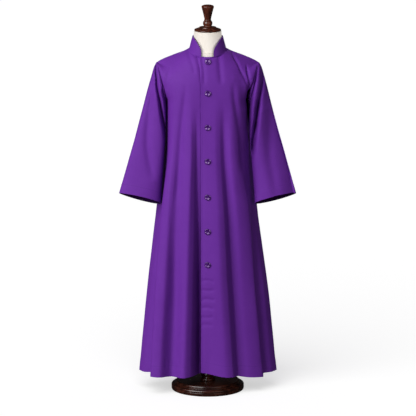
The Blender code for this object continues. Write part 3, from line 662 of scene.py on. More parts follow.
# The inner face's dark colour is painted shade.
cassock_painted_shade_inside = painted_shade_inside_finish()
close_from = ROW_PLACE[-1] - NECK_REACH
rows_up = np.concatenate([np.linspace(ROW_PLACE[0], close_from, ROWS, endpoint=False),
                          np.linspace(close_from, ROW_PLACE[-1], NECK_ROWS)])
below_neck = np.clip((rows_up[-1] - rows_up) / NECK_FADE, 0, 1)[:, None]
# A front's last column is its seam, and its first one is the sewn edge.
FRONT_SEAM = (-1,)
FRONT_STITCHING = ((0, EDGE_STITCHING),)
LEFT_SEED = 3

left_net = body_net(FRONT_SECTIONS, LEFT_FRONT_FOLDS, -1)
left_grid = patch(left_net, rows_up, even_columns(left_net, FRONT_COLUMNS), FRONT_SEAM)
left_grid = drawn_in(settled(left_grid, FRONT_SEAM), FRONT_SEAM)
left_relief = unevenness(left_grid, LEFT_SEED) - below_neck * pressed(left_grid, LEFT_FRONT_CREASES)
left_front = body_piece("left_front_cloth", left_grid, left_relief, rows_up, FRONT_SEAM,
                        FRONT_STITCHING)
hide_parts("left_front")


# ------------------------------------------------------------------ right front
# The wearer's right front, the mirror of the left one's cut.  Its edge lies under the
# lap, and in the skirt it falls back into a deep fold behind the free edge.

LAP = 0.028
# The edge tucks in behind the lap by this much, over a run that ends just outside the lap.
TUCK = CLOTH + 0.0006
TUCK_RUN = 0.005
TUCK_END = 0.001
RIGHT_SEED = 8
RIGHT_FRONT_FOLDS = (
    Fold("under edge", -0.09, (-28, -120.5), (-28, -118), (-27, -101), (-22, -78), 88),
    Fold("under lap", 0.0, (3, -120.5), (6, -113), (9, -88), (12, -68), 88),
    Fold("front hollow", 0.12, (46, -113.5), (40, -98), (35, -74), (36, -64), 84),
    Fold("crest's side", 0.18, (60, -120.5), (65, -125), (72, -129), (79, -133), 83),
    Fold("front crest", 0.24, (74, -127), (84, -136.5), (95, -141), (105, -146), 81),
    Fold("mid hollow", 0.4, (118, -108), (141, -109), (149, -98), (162, -104), 79),
    Fold("side crest", 0.56, (148, -101), (171, -116), (195, -124), (215, -133), 81),
    Fold("side fold", 0.7, (165, -78), (203, -85), (233, -100), (252, -113), 81),
    Fold("side hollow", 0.82, (171.5, -46), (197, -40), (226, -48), (247, -48), 83),
    Fold("side panel", 0.92, (175, -12), (207, -12), (253, -11), (282, -20), 79),
    Fold("side seam", 1.0, (187, 54), (225, 40), (270, 30), (304, 20), 78),
)
RIGHT_FRONT_CREASES = (
    (7, 2.2, ((-162, 1465), (-178, 1405), (-179, 1350))),
    (14, 3, ((-100, 1528), (-135.3, 1494.5), (-162, 1425))),
    (9, 5, ((-56, 1540), (-41, 1488.5), (-33, 1455), (-27, 1422.3), (-23, 1375))),
    (8, 2.6, ((-98, 1540), (-81.9, 1510), (-64, 1468), (-56, 1430))),
    (4, 3, ((-10, 1499), (-30, 1502.5), (-50, 1508), (-65, 1514), (-78, 1521.5), (-95, 1535))),
    (12, 5.6, ((-94, 1390), (-111, 1235), (-119, 1147), (-127, 1010), (-136, 860))),
    (6, 1.4, ((-187, 160), (-185, 130), (-186, 108))),
    (6, 1.2, ((-170, 156), (-171, 130), (-169, 108))),
    (5, 1, ((-155, 152), (-154, 126), (-156, 108))),
)

right_net = body_net(FRONT_SECTIONS, RIGHT_FRONT_FOLDS, -1) * (-1, 1, 1)
right_grid = patch(right_net, rows_up, even_columns(right_net, FRONT_COLUMNS), FRONT_SEAM)
under_share = np.clip((right_grid[..., 0] + LAP + TUCK_END) / TUCK_RUN + 1, 0, 1)
right_grid[..., 1] += TUCK * even_step(under_share)
right_grid = drawn_in(settled(right_grid, FRONT_SEAM), FRONT_SEAM)
# Under the lap the cloth takes the relief of the left front, which lies on it.
open_relief, lapped = (unevenness(right_grid, seed) - below_neck * pressed(right_grid, creases)
                       for seed, creases in ((RIGHT_SEED, RIGHT_FRONT_CREASES),
                                             (LEFT_SEED, LEFT_FRONT_CREASES)))
right_relief = open_relief + under_share * (lapped - open_relief)
right_front = body_piece("right_front_cloth", right_grid, right_relief, rows_up, FRONT_SEAM,
                         FRONT_STITCHING, outward=-1)
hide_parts("right_front")


# ------------------------------------------------------------------ back
# The back, cut in one piece across both shoulders and sewn to the fronts along the
# shoulders and down the sides.  It hangs in soft folds from the shoulder blades.

BACK_COLUMNS = 165
BACK_ROWS = 250
BACK_SEAMS = (0, -1)
BACK_SEED = 5
# The cloth swells out under each arm: how far, where on the left, and how wide.
UNDERARM_SWELL = 0.0085
UNDERARM = (0.178, 0.06, 1.255)
UNDERARM_REACH = (0.03, 0.028, 0.06)
BACK_SECTIONS = (
    Section(0.0, 118.5, 1322, 124, 110, (0.0, -1.0, 0.0)),
    Section(0.5, 118.5, 1352, 116, 66, (0.3, -0.95, 0.0)),
    Section(1.0, 117, 1402, 100, 50, (0.72, -0.68, 0.1)),
    Section(1.5, 111, 1446, 98, 60, (0.75, -0.62, 0.2)),
    Section(2.0, 101, 1480, 92, 74, (0.58, -0.76, 0.28)),
    Section(2.5, 86, 1517, 60, 60, (0.28, -0.93, 0.24)),
    Section(3.0, 69, 1546, 44, 38, (0.0, -1.0, -0.08)),
)
BACK_FOLDS = (
    Fold("right seam", -1.0, (-187, 54), (-225, 40), (-270, 30), (-304, 20), 78),
    Fold("panel", -0.84, (-191, 80), (-213, 74), (-254, 67), (-285, 62), 84),
    Fold("hollow", -0.66, (-155, 88), (-166, 76), (-189, 78), (-206, 86), 84),
    Fold("crest", -0.48, (-120, 105), (-134, 119), (-150, 133), (-164, 143), 83),
    Fold("hollow", -0.3, (-80, 108), (-88, 103), (-94, 104), (-101, 103), 85),
    Fold("crest", -0.13, (-36, 119), (-42, 129), (-45, 141), (-50, 151), 83),
    Fold("hollow", 0.03, (8, 113), (10, 110), (12, 107), (15, 106), 85),
    Fold("crest", 0.2, (55, 118), (64, 129), (74, 143), (83, 153), 83),
    Fold("hollow", 0.36, (95, 103), (108, 98), (125, 99), (138, 98), 84),
    Fold("crest", 0.54, (135, 100), (152, 107), (177, 120), (196, 130), 83),
    Fold("hollow", 0.7, (157, 91), (176, 69), (206, 69), (228, 72), 84),
    Fold("panel", 0.86, (191, 80), (208, 72), (254, 60), (289, 54), 84),
    Fold("left seam", 1.0, (187, 54), (218, 40), (270, 30), (306, 20), 78),
)
BACK_CREASES = (
    (10, 3, ((-165, 1455), (-178, 1400), (-176, 1350))),
    (10, 3, ((160, 1460), (176, 1405), (178, 1345))),
    (14, 2.4, ((-110, 1500), (-140, 1450), (-150, 1390))),
    (13, 2.6, ((105, 1500), (134, 1452), (149, 1395))),
    (12, 1.8, ((-50, 1520), (-46, 1470), (-52, 1410))),
    (12, 1.8, ((56, 1518), (50, 1465), (58, 1400))),
)

back_net = body_net(BACK_SECTIONS, BACK_FOLDS, 1)
back_rows_up = np.linspace(ROW_PLACE[0], ROW_PLACE[-1], BACK_ROWS)
back_grid = patch(back_net, back_rows_up, even_columns(back_net, BACK_COLUMNS), BACK_SEAMS)
back_grid = drawn_in(settled(back_grid, BACK_SEAMS), BACK_SEAMS)
back_relief = unevenness(back_grid, BACK_SEED) - pressed(back_grid, BACK_CREASES)
for side in (-1, 1):
    apart = (back_grid - np.multiply(UNDERARM, (side, 1, 1))) / UNDERARM_REACH
    back_relief += UNDERARM_SWELL * np.exp(-(apart**2).sum(axis=2))
back = body_piece("back_cloth", back_grid, back_relief, back_rows_up, BACK_SEAMS, outward=-1)
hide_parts("back")


# ------------------------------------------------------------------ sleeves
# Two set-in sleeves, each one piece closed by a seam under the arm and sewn into the
# armhole.  They widen to an open cuff with a turned-up hem, and hang empty.

SLEEVE_AROUND = 190
SLEEVE_CROWDING = 0.4
SLEEVE_ROWS = 130
SLEEVE_NEAR_SEAM = (-0.002, 0.0, *NEAR_EDGE)
# Under the arm the sleeve's first ring stands this far out from the side seam.
SLEEVE_STANDOFF = 0.0036
# The seam's turning goes this far sideways into the armhole and in towards its middle.
SLEEVE_TURNING = 0.0032
SLEEVE_TURNING_IN = 0.012
# The sleeve's head rolls in beside the seam by this much, over this width.
SLEEVE_ROLL, SLEEVE_ROLL_RUN = 0.006, 0.0045
# Creases and bulges reach full depth over this run from the seam, and creases also grow
# from the sleeve's sides to its front and back, this many times the sine of the turn.
SLEEVE_SEAM_RUN = 0.012
CREASE_GROWTH = 2.4
CUFF_HEM = 0.04
LEFT_SLEEVE_SEED, RIGHT_SLEEVE_SEED = 11, 12
# In metres: the outer and inner edge seen from the front, the middle's depth, half the
# sleeve front to back, and how much higher the front is than the middle.  Then for each
# sleeve and ring: how square the inner and the outer half are (2 for an ellipse), and how
# much thinner the sleeve is at its outer edge.
Ring = namedtuple("Ring", "name outer inner middle_y depth tilt")
SLEEVE_RINGS = (
    Ring("armhole", SHOULDER_POINT, ARMPIT, 0.0, ARMHOLE_DEPTH, 0.0),
    Ring("cap", (0.2325, 1.453), (0.1815, 1.268), -0.002, 0.067, 0.0),
    Ring("upper arm", (0.246, 1.41), (0.1825, 1.225), -0.005, 0.066, 0.0),
    Ring("bicep", (0.264, 1.345), (0.184, 1.174), -0.01, 0.061, 0.002),
    Ring("elbow", (0.2893, 1.245), (0.1895, 1.1), -0.016, 0.056, 0.004),
    Ring("forearm", (0.3175, 1.14), (0.1955, 1.025), -0.022, 0.051, 0.008),
    Ring("lower arm", (0.354, 1.012), (0.2025, 0.935), -0.028, 0.046, 0.013),
    Ring("cuff", (0.388, 0.891), (0.209, 0.8465), -0.034, 0.042, 0.019),
)
RIGHT_SLEEVE_SHAPE = ((2.0, 2.0, 0.0), (2.0, 2.2, 0.05), (2.1, 2.5, 0.15), (2.6, 3.0, 0.28),
                      (3.4, 3.4, 0.38), (3.4, 3.4, 0.42), (2.8, 2.6, 0.38), (2.1, 1.7, 0.3))
LEFT_SLEEVE_SHAPE = ((2.0, 2.0, 0.0), (2.0, 2.1, 0.1), (2.0, 2.3, 0.25), (2.0, 2.8, 0.45),
                     (1.9, 3.0, 0.62), (1.9, 3.0, 0.68), (1.9, 2.6, 0.55), (2.0, 1.7, 0.3))
# Creases of the front half and of the back half, as seen from the front, x to the side.
RIGHT_SLEEVE_FRONT = (
    (6, 27, ((230, 1620), (227, 1429.7), (223.5, 1403.9), (222.5, 1378.2), (218.5, 1352.4),
             (208, 1300.9), (203, 1266.6), (198.5, 1232.3), (192, 1198), (186, 1163.7),
             (181, 1129.4), (172, 1000))),
    (8.5, 12, ((215, 1330), (198.5, 1232.3), (192, 1198), (181, 1129.4), (170, 1000))),
    (5, 17, ((213, 1520), (208, 1429.7), (201.5, 1403.9), (193, 1378.2), (195, 1352.4),
             (191.5, 1326.7), (184.6, 1300.9), (178, 1266.6), (174, 1200))),
    (7, 3.6, ((237, 1430), (242, 1370), (248, 1320), (256, 1270))),
    (17, 8, ((247, 1350), (257.5, 1240), (264, 1170), (264, 1105), (258, 1060), (250, 1018),
             (242, 950))),
)
LEFT_SLEEVE_FRONT = (
    (6, 19, ((225, 1570), (215, 1455.4), (208, 1403.9), (198.5, 1352.4), (193, 1326.7),
             (188.6, 1300.9), (182, 1266.6), (175, 1190))),
    (7.5, 23, ((241, 1650), (239.5, 1455.4), (239, 1403.9), (237, 1378.2), (232.5, 1352.4),
               (222.5, 1300.9), (216, 1250), (210, 1200), (204, 1150))),
    (11, 22, ((225, 1320), (218, 1266.6), (215, 1232.3), (210.5, 1198), (206, 1163.7),
              (201, 1129.4), (195, 1095), (184, 1030))),
    (9, 20, ((214, 1220), (205.5, 1163.7), (201.5, 1129.4), (197.5, 1095), (194, 1060))),
    (22, 6, ((262, 1400), (270, 1270), (272, 1200), (269, 1105), (270, 1060), (276, 1018),
             (290, 950), (310, 840))),
    (85, 24, ((305, 1280), (330, 1200), (355, 1120), (375, 1050), (395, 980), (415, 880),
              (420, 650))),
)
SLEEVE_BACK = (
    (8, 13, ((228, 1460), (216, 1350), (202, 1250), (190, 1150))),
    (11, 8, ((242, 1420), (246, 1330), (238, 1230), (225, 1120))),
    (18, 5, ((270, 1280), (278, 1120), (285, 950))),
)


def sleeve_rings(turns, shape):
    """Points of the sleeve's rings on the wearer's left: two half superellipses through
    the inner and the outer edge, thinner by the taper at the outer one, with the front
    lifted by the tilt.  The first ring is the seam's turning inside the armhole."""
    rows = []
    for ring, (square_in, square_out, taper) in zip(SLEEVE_RINGS, shape):
        outer, inner = np.array(ring.outer), np.array(ring.inner)
        middle, reach = (outer + inner) / 2, (inner - outer) / 2
        power = np.where(np.cos(turns) < 0, square_out, square_in)
        swell = (np.abs(np.cos(turns))**power + np.abs(np.sin(turns))**power)**(-1 / power)
        across = swell * np.cos(turns)
        ahead = swell * np.sin(turns) * (1 - taper * (1 - across) / 2)
        x = middle[0] + reach[0] * across
        y = ring.middle_y - ring.depth * ahead
        z = middle[1] + reach[1] * across + ring.tilt * ahead
        rows.append(np.stack([x, y, z], 1))
    rings = np.array(rows)
    standoff = SLEEVE_STANDOFF * ((1 + np.cos(turns)) / 2)**4
    rings[0, :, 0] += 2 * SEAM_INSET + standoff
    inward = rings[0].mean(axis=0) - rings[0]
    turning = rings[0] + inward * SLEEVE_TURNING_IN / np.linalg.norm(inward, axis=1)[:, None]
    turning[:, 0] -= SLEEVE_TURNING + standoff
    return np.concatenate([turning[None], rings])


def sleeve(name, side, shape, front_creases, seed):
    """One sleeve; side is +1 for the wearer's left.  Rows run from the armhole to the
    cuff and columns from the underarm seam round the front, where they crowd.  The
    creases are pressed straight in from the front and from the back."""
    turns = np.arange(SLEEVE_AROUND) * tau / SLEEVE_AROUND
    turns = turns + SLEEVE_CROWDING * (np.cos(turns) - 1)
    rings = sleeve_rings(turns, shape)
    steps = np.linalg.norm(np.diff(rings, axis=0), axis=2).mean(axis=1)
    places = np.concatenate([[-steps[0]], np.cumsum(steps) - steps[0]])
    even = np.linspace(places[0], places[-1], SLEEVE_ROWS)
    down = np.sort(np.concatenate([even, SLEEVE_NEAR_SEAM]))
    grid = steady(places, rings, down)
    ahead, behind = (np.clip(way * CREASE_GROWTH * np.sin(turns), 0, 1) for way in (1, -1))
    inward = ahead * pressed(grid, front_creases) - behind * pressed(grid, SLEEVE_BACK)
    from_seam = np.clip(down / SLEEVE_SEAM_RUN, 0, 1)[:, None]
    roll = SLEEVE_ROLL * np.exp(-(np.maximum(down, 0) / SLEEVE_ROLL_RUN)**2)[:, None]
    grid = grid - (unevenness(grid, seed) * from_seam)[..., None] * facing(grid, wrap=True)
    grid[..., 1] += inward * from_seam + roll * np.sin(turns)
    grid *= (side, 1, 1)
    up = distances(grid)[1]
    marks = sewing_marks(grid)
    marks["hem_line"] = up[-1] - up - CUFF_HEM
    thickness = hemmed(grid, CUFF_HEM, from_last=True)
    return cloth_wall(name, grid, marks, thickness, outward=-side, wrap=True)


left_sleeve = sleeve("left_sleeve_cloth", 1, LEFT_SLEEVE_SHAPE, LEFT_SLEEVE_FRONT,
                     LEFT_SLEEVE_SEED)
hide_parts("left_sleeve")

right_sleeve = sleeve("right_sleeve_cloth", -1, RIGHT_SLEEVE_SHAPE, RIGHT_SLEEVE_FRONT,
                      RIGHT_SLEEVE_SEED)
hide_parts("right_sleeve")


# ------------------------------------------------------------------ collar
# A standing collar of two layers of the same cloth over a stiffener, sewn to the neckline.
# Its ends are rounded and cut away from the centre front, and it is stitched near the edge.

COLLAR_SEAT = -0.0006
COLLAR_RIGHT_END = 0.222
COLLAR_LEFT_END = 0.205
COLLAR_TOP = 1.5855
COLLAR_CLOTH = 0.0019
COLLAR_STITCHING = 0.004
# Distance round from the collar's end, and the top line's level there.
COLLAR_TOP_LINE = ((0.0, 1.523), (0.0012, 1.5295), (0.005, 1.5395), (0.011, 1.549),
                   (0.02, 1.559), (0.033, 1.5695), (0.048, 1.578), (0.065, 1.5835),
                   (0.085, COLLAR_TOP))
COLLAR_SIDE_LEAN = 0.015
COLLAR_MIDDLE_LEAN = 0.005
COLLAR_ROWS = 26
COLLAR_FRONT_POINTS, COLLAR_BACK_POINTS = 60, 80
# Above 1, the collar's points crowd towards its ends.
COLLAR_CROWDING = 1.3


def neckline():
    """Points of the neck edge from the collar's right end round the back to its left."""
    spread = np.linspace(0, 1, COLLAR_FRONT_POINTS)**COLLAR_CROWDING
    front, behind = section_values(FRONT_SECTIONS[-1]), section_values(BACK_SECTIONS[-1])
    right, left = [section_curve(front, STATIONS[-1], end + (1 - end) * spread, -1)
                   for end in (COLLAR_RIGHT_END, COLLAR_LEFT_END)]
    across = np.linspace(-1, 1, COLLAR_BACK_POINTS)
    round_back = section_curve(behind, STATIONS[-1], across, 1)
    return np.concatenate([right * (-1, 1, 1), round_back[1:-1], left[::-1]])


def collar_grid():
    """Rows from the seam to the top edge, columns along the neckline.  The top line
    curves up and back from the ends to its full height at the sides."""
    foot = neckline()
    turn = np.arctan2(np.abs(foot[:, 0]), -foot[:, 1])
    round_about = np.append(0.0, np.cumsum(np.linalg.norm(np.diff(foot, axis=0), axis=1)))
    from_end = np.minimum(round_about, round_about[-1] - round_about)
    knots, levels = np.array(COLLAR_TOP_LINE).T
    top = steady(knots, levels, np.minimum(from_end, knots[-1]))
    along = np.gradient(foot[:, :2], axis=0)
    along /= np.linalg.norm(along, axis=1, keepdims=True)
    inward = np.stack([along[:, 1], -along[:, 0], np.zeros(len(foot))], 1)
    lean = COLLAR_MIDDLE_LEAN + (COLLAR_SIDE_LEAN - COLLAR_MIDDLE_LEAN) * np.sin(turn)**2
    level = np.linspace(0, 1, COLLAR_ROWS)[:, None]
    height = foot[:, 2] + COLLAR_SEAT + level * (top - foot[:, 2] - COLLAR_SEAT)
    leaning = lean * (height - foot[:, 2]) / (COLLAR_TOP - foot[:, 2])
    grid = foot + leaning[..., None] * inward
    grid[..., 2] = height
    return grid


collar_shape = collar_grid()
collar_up = distances(collar_shape)[1]
collar_ends = ((0, COLLAR_STITCHING), (-1, COLLAR_STITCHING))
collar_marks = sewing_marks(collar_shape, edges=collar_ends)
collar_marks["hem_line"] = collar_up[-1] - collar_up - COLLAR_STITCHING
collar = cloth_wall("collar_cloth", collar_shape, collar_marks, COLLAR_CLOTH, outward=-1,
                    inside=cassock_cloth)
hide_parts("collar")


# ------------------------------------------------------------------ buttons
# Seven round buttons of polished purple horn with a raised rim and a dished face, sewn
# down the centre line through a shank that doesn't show.

BUTTON_RADIUS = 0.0135
BUTTON_THICKNESS = 0.0056
BUTTON_HEIGHTS = (1.4835, 1.349, 1.1985, 1.0485, 0.892, 0.7405, 0.589)
BUTTON_SIDES = 48
# The button line is this fold of the left front, and the cloth's slope there is read over
# this share of a fold to either side.
BUTTON_COLUMN = 1
SLOPE_REACH = 0.1
BUTTON_STANDOFF = 0.0008
HORN_DARK, HORN_LIGHT = (0.02, 0.0038, 0.05), (0.044, 0.0085, 0.105)
HORN_RELIEF = 0.00004
HORN_GLOSS = {"Specular IOR Level": 0.6, "Specular Tint": (0.8, 0.5, 0.95, 1.0),
              "Coat Weight": 0.25, "Coat Roughness": 0.15, "Coat Tint": (0.85, 0.65, 0.95, 1.0)}
# Radius and height, as shares, from the middle of the dish round to the back.
BUTTON_PROFILE = ((0.02, 0.46), (0.22, 0.47), (0.42, 0.54), (0.56, 0.7), (0.66, 0.9),
                  (0.74, 0.99), (0.82, 1.0), (0.9, 0.92), (0.97, 0.74), (1.0, 0.52),
                  (0.97, 0.3), (0.86, 0.1), (0.7, 0.0))
TURNED_SHARPNESS = radians(38)


def horn_finish():
    """Polished purple horn with faint cloudy streaks and a clear gloss."""
    finish = Finish("purple horn", HORN_GLOSS)
    place = finish.node("ShaderNodeTexCoord")["Object"]
    cloud = finish.stretched_noise(place, (260.0, 260.0, 90.0), 3.0)
    colour = finish.blend(HORN_DARK, HORN_LIGHT, finish.smooth(cloud, 0.3, 0.7))
    return finish.surface(colour, cloud * 0.12 + 0.2, cloud, HORN_RELIEF)


def revolved(name, rings, finish, collection=model):
    """A closed solid through rings of points given from its top to its bottom, capped at
    both ends."""
    count, sides = rings.shape[:2]
    index = np.arange(count * sides).reshape(count, sides)
    following = np.roll(index, -1, axis=1)
    faces = np.stack([index[:-1], index[1:], following[1:], following[:-1]], 2)
    faces = faces.reshape(-1, 4).tolist() + [index[0].tolist(), index[-1, ::-1].tolist()]
    mesh = bpy.data.meshes.new(name)
    mesh.from_pydata(rings.reshape(-1, 3), [], faces)
    return placed(mesh, TURNED_SHARPNESS, collection, finish)


def button(number, height):
    """A button seated square on the cloth at a height of the button line."""
    columns = BUTTON_COLUMN + SLOPE_REACH * np.array([-1, 0, 1])
    line = patch(left_net, rows_up, columns, FRONT_SEAM)
    row = int(np.abs(line[1:-1, 1, 2] - height).argmin()) + 1
    outward = np.cross(line[row, 2] - line[row, 0], line[row + 1, 1] - line[row - 1, 1])
    outward /= np.linalg.norm(outward)
    seat = line[row, 1] * (0, 1, 1) + (CLOTH + BUTTON_STANDOFF) * outward
    across = np.cross((0.0, 0.0, 1.0), outward)
    across /= np.linalg.norm(across)
    up = np.cross(outward, across)
    angles = np.arange(BUTTON_SIDES) * tau / BUTTON_SIDES
    spokes = np.cos(angles)[:, None] * across + np.sin(angles)[:, None] * up
    radius, rise = np.array(BUTTON_PROFILE).T[:, :, None, None]
    rings = seat + rise * BUTTON_THICKNESS * outward + radius * BUTTON_RADIUS * spokes
    piece = revolved(f"button_{number}_horn", rings, button_horn, trimmings)
    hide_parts(f"button_{number}")


button_horn = horn_finish()
for number, height in enumerate(BUTTON_HEIGHTS, start=1):
    button(number, height)


# ------------------------------------------------------------------ dress form
# A padded limbless torso with a neck, covered in ivory jersey drawn tight and finished
# with a narrow band round the top of the neck.  Only the neck shows.

FORM_SIDES = 96
FORM_CLEARANCE = 0.0022
NECK_FOOT = 1.5215
NECK_CORE = (0.069, 0.0705, 0.0645)
# The power that joins the trunk and the neck's core: a higher one leaves a sharper hollow.
CORE_UNION = 24
IVORY_DARK, IVORY_LIGHT = (0.8, 0.735, 0.655), (0.86, 0.805, 0.74)
JERSEY_COURSE = 0.0013
JERSEY_WALES = 220.0
JERSEY_RELIEF = 0.00012
# A ring's height, half its width, its reach to the front and to the back, and how round it
# is (2 for an ellipse).  The shoulders' rings lie at the height that their width gives.
FORM_TRUNK = (
    (0.8, 0.146, 0.078, 0.084, 2.0),
    (0.825, 0.155, 0.085, 0.091, 2.0),
    (0.9, 0.155, 0.086, 0.094, 2.0),
    (0.99, 0.137, 0.083, 0.089, 2.0),
    (1.07, 0.125, 0.083, 0.083, 2.0),
    (1.15, 0.132, 0.094, 0.089, 2.0),
    (1.23, 0.146, 0.107, 0.098, 2.0),
    (1.3, 0.152, 0.109, 0.103, 2.0),
    (1.36, 0.16, 0.103, 0.103, 2.0),
    (1.41, 0.173, 0.091, 0.096, 1.9),
    (1.44, 0.177, 0.081, 0.088, 1.75),
    (1.465, 0.175, 0.073, 0.08, 1.6),
)
FORM_SHOULDERS = (
    (0.159, 0.0635, 0.0705, 1.3),
    (0.14, 0.0655, 0.0695, 1.3),
    (0.118, 0.0625, 0.0655, 1.2),
    (0.096, 0.06, 0.064, 1.25),
)
FORM_NECK = (
    (NECK_FOOT, 0.069, 0.0705, 0.0645, 2.0),
    (1.532, 0.0664, 0.0672, 0.0625, 2.0),
    (1.548, 0.064, 0.064, 0.0608, 2.0),
    (1.58, 0.0618, 0.0605, 0.059, 2.0),
    (1.601, 0.0602, 0.06, 0.0588, 2.0),
    (1.6016, 0.0596, 0.0594, 0.0582, 2.0),
    (1.6024, 0.0596, 0.0594, 0.0582, 2.0),
    (1.603, 0.0604, 0.0602, 0.059, 2.0),
    (1.6062, 0.0604, 0.0602, 0.059, 2.0),
    (1.6074, 0.0598, 0.0596, 0.0584, 2.0),
    (1.608, 0.0585, 0.0583, 0.0572, 2.0),
)
FORM_STEPS = 5


def jersey_finish():
    """Ivory cotton jersey: fine upright wales, a slight yellowing in patches."""
    finish = Finish("ivory jersey", {"Specular IOR Level": 0.25, "Sheen Weight": 0.05})
    place = finish.node("ShaderNodeTexCoord")["Object"]
    patches = finish.noise(place, 9.0, 3.0)
    apart = finish.node("ShaderNodeSeparateXYZ", None, {0: place})
    turn = apart["X"].math("ARCTAN2", apart["Y"])
    wale = (turn * JERSEY_WALES).math("SINE") * 0.5 + 0.5
    course = (apart["Z"] * (tau / JERSEY_COURSE)).math("SINE") * 0.5 + 0.5
    lint = finish.stretched_noise(place, (500.0, 500.0, 160.0))
    yellowed = finish.smooth(patches + lint * 0.3, 0.4, 0.85)
    colour = finish.blend(IVORY_DARK, IVORY_LIGHT, yellowed)
    height = wale * 0.4 + course * 0.3 + lint * 0.3
    return finish.surface(colour, lint * 0.1 + 0.68, height, JERSEY_RELIEF)


def form_ring(z, half_width, front, back, roundness):
    """Level superellipse with its own depth to the front and to the back.  Under the
    neckline it grows smoothly round the neck's core, an ellipse."""
    angles = np.arange(FORM_SIDES) * tau / FORM_SIDES
    across, along = np.cos(angles), np.sin(angles)
    reach = np.where(along < 0, front, back)
    radius = (np.abs(across / half_width)**roundness
              + np.abs(along / reach)**roundness)**(-1 / roundness)
    if z < NECK_FOOT:
        core_width, core_front, core_back = NECK_CORE
        core_reach = np.where(along < 0, core_front, core_back)
        core = 1 / np.hypot(across / core_width, along / core_reach)
        radius = (radius**CORE_UNION + core**CORE_UNION)**(1 / CORE_UNION)
    return np.stack([radius * across, radius * along, np.full(FORM_SIDES, z)], 1)


def shoulder_height(x):
    """Height right under the shoulder seam at a distance from the centre."""
    (outer, low), (inner, high) = SHOULDER_POINT, NECK_POINT
    share = (outer - x) / (outer - inner)
    arch = SHOULDER_ARCH * np.sin(share * pi)
    return low + share * (high - low) + arch - FORM_CLEARANCE


form_shoulders = [(shoulder_height(ring[0]), *ring) for ring in FORM_SHOULDERS]
form_values = np.array([*FORM_TRUNK, *form_shoulders, *FORM_NECK])
form_knots = np.arange(len(form_values))
form_steps = np.linspace(0, form_knots[-1], form_knots[-1] * FORM_STEPS + 1)
form_rings = np.array([form_ring(*values)
                       for values in steady(form_knots, form_values, form_steps)])
torso = revolved("form_jersey", form_rings[::-1], jersey_finish(), form)
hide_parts("form_torso")


# ------------------------------------------------------------------ neck cap and finial
# A turned disc of dark stained hardwood on the neck, and on it a finial with a ball below
# and a flared top, turned in one piece and French polished.

TURNED_SIDES = 160
TIP_RADIUS = 0.0004
CAP_PROFILE = ((0, 1627), (37.5, 1625.6), (38.6, 1622.2), (41.2, 1621.2), (52, 1617.8),
               (57.2, 1615.8), (58.8, 1613.5), (58.8, 1611.5), (57.2, 1609.5), (54.8, 1608.4),
               (0, 1608.4))
FINIAL_PROFILE = ((0, 1723), (17, 1722.2), (24.6, 1719.6), (27.2, 1716), (27.2, 1713.2),
                  (25.2, 1706), (20.5, 1688), (16.5, 1671), (14.3, 1660), (14.3, 1657.8),
                  (16.2, 1656), (16.2, 1654.5), (15, 1653), (19.2, 1650), (21.1, 1642.5),
                  (19.6, 1635), (16.8, 1631.8), (19, 1630), (19, 1627.4), (0, 1627.4))
ROUNDING = 0.0011
SHORT_SIDE_SHARE = 0.45
ARC_POINTS = 6
WOOD_RELIEF = 0.0000012


def wood_finish(name, dark, light, along):
    """Stained close-grained hardwood under a hard polish: grain streaks drawn out along
    the turning, darker pores, and a rubbed shine that varies a little."""
    finish = Finish(name, {"Specular IOR Level": 0.3, "Coat Weight": 0.35, "Coat Roughness": 0.16})
    place = finish.node("ShaderNodeTexCoord")["Object"]
    streaks = finish.stretched_noise(place, along, 5.0, 0.6)
    pores = finish.stretched_noise(place, tuple(4 * value for value in along))
    rubbed = finish.noise(place, 14.0)
    grain = finish.blend(dark, light, finish.smooth(streaks, 0.36, 0.68))
    in_pores = finish.smooth(pores, 0.6, 0.72) * 0.7
    colour = finish.blend(grain, tuple(0.45 * value for value in dark), in_pores)
    return finish.surface(colour, rubbed * 0.1 + 0.22, streaks * 0.6 + pores * 0.4, WOOD_RELIEF)


def rounded(profile, radius):
    """The profile with every corner cut by an arc that starts the radius away from it, or
    at a share of a shorter side."""
    points = np.array(profile) / MM
    corner = points[1:-1]
    ends = []
    for neighbour in (points[:-2], points[2:]):
        way = neighbour - corner
        length = np.linalg.norm(way, axis=1, keepdims=True)
        ends.append(corner + way / length * np.minimum(radius, SHORT_SIDE_SHARE * length))
    start, end = ends
    t = np.linspace(0, 1, ARC_POINTS)[:, None, None]
    arcs = (1 - t)**2 * start + 2 * (1 - t) * t * corner + t**2 * end
    return np.concatenate([points[:1], np.swapaxes(arcs, 0, 1).reshape(-1, 2), points[-1:]])


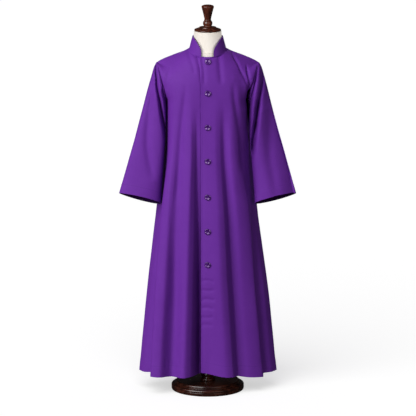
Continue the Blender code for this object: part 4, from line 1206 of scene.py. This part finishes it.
def turned(name, profile, finish, node):
    """A piece turned from (radius, height) points given from its top to its bottom."""
    line = rounded(profile, ROUNDING)
    line[[0, -1], 0] = TIP_RADIUS
    angles = np.arange(TURNED_SIDES) * tau / TURNED_SIDES
    ring = np.stack([np.cos(angles), np.sin(angles), np.zeros(TURNED_SIDES)], 1)
    rings = line[:, 0, None, None] * ring + line[:, 1, None, None] * (0.0, 0.0, 1.0)
    piece = revolved(name, rings, finish)
    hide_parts(node)


cap_wood = wood_finish("turned mahogany", dark=(0.026, 0.0056, 0.003),
                       light=(0.125, 0.029, 0.014), along=(60.0, 60.0, 14.0))
turned("neck_cap_wood", CAP_PROFILE, cap_wood, "neck_cap")
turned("finial_wood", FINIAL_PROFILE, cap_wood, "finial")


# ------------------------------------------------------------------ column, plinth and base
# A turned column from the form down to a round base of two tiers, of the same hardwood.
# The upper tier has a raised bead round a sunk top, where the column's foot stands.

COLUMN_PROFILE = ((0, 799.6), (30, 799.6), (30, 788), (24, 780), (21.5, 760), (21.5, 92),
                  (24, 80), (29, 74), (31, 66), (29, 58.5), (25, 54.5), (27, 50), (33.5, 47.5),
                  (34.5, 44), (33.5, 38.9), (0, 38.9))
PLINTH_PROFILE = ((0, 38.5), (128.5, 38.5), (132, 39.8), (135.5, 41), (139.5, 39.4),
                  (141.2, 35.8), (140, 32.6), (143, 30), (147, 29), (147, 26.8), (0, 26.8))
BASE_PROFILE = ((0, 26.5), (154.5, 26.5), (159, 25), (161, 21.5), (161, 16.5), (159.2, 15.5),
                (159.2, 14.5), (161, 13.5), (161, 4.5), (159, 0), (0, 0))

column_wood = wood_finish("column mahogany", dark=(0.014, 0.0034, 0.0022),
                          light=(0.06, 0.015, 0.008), along=(70.0, 70.0, 5.0))
base_wood = wood_finish("base mahogany", dark=(0.013, 0.0032, 0.0021),
                        light=(0.052, 0.0135, 0.0075), along=(9.0, 60.0, 60.0))
turned("column_wood", COLUMN_PROFILE, column_wood, "column")
turned("plinth_wood", PLINTH_PROFILE, base_wood, "plinth")
turned("base_wood", BASE_PROFILE, base_wood, "base")
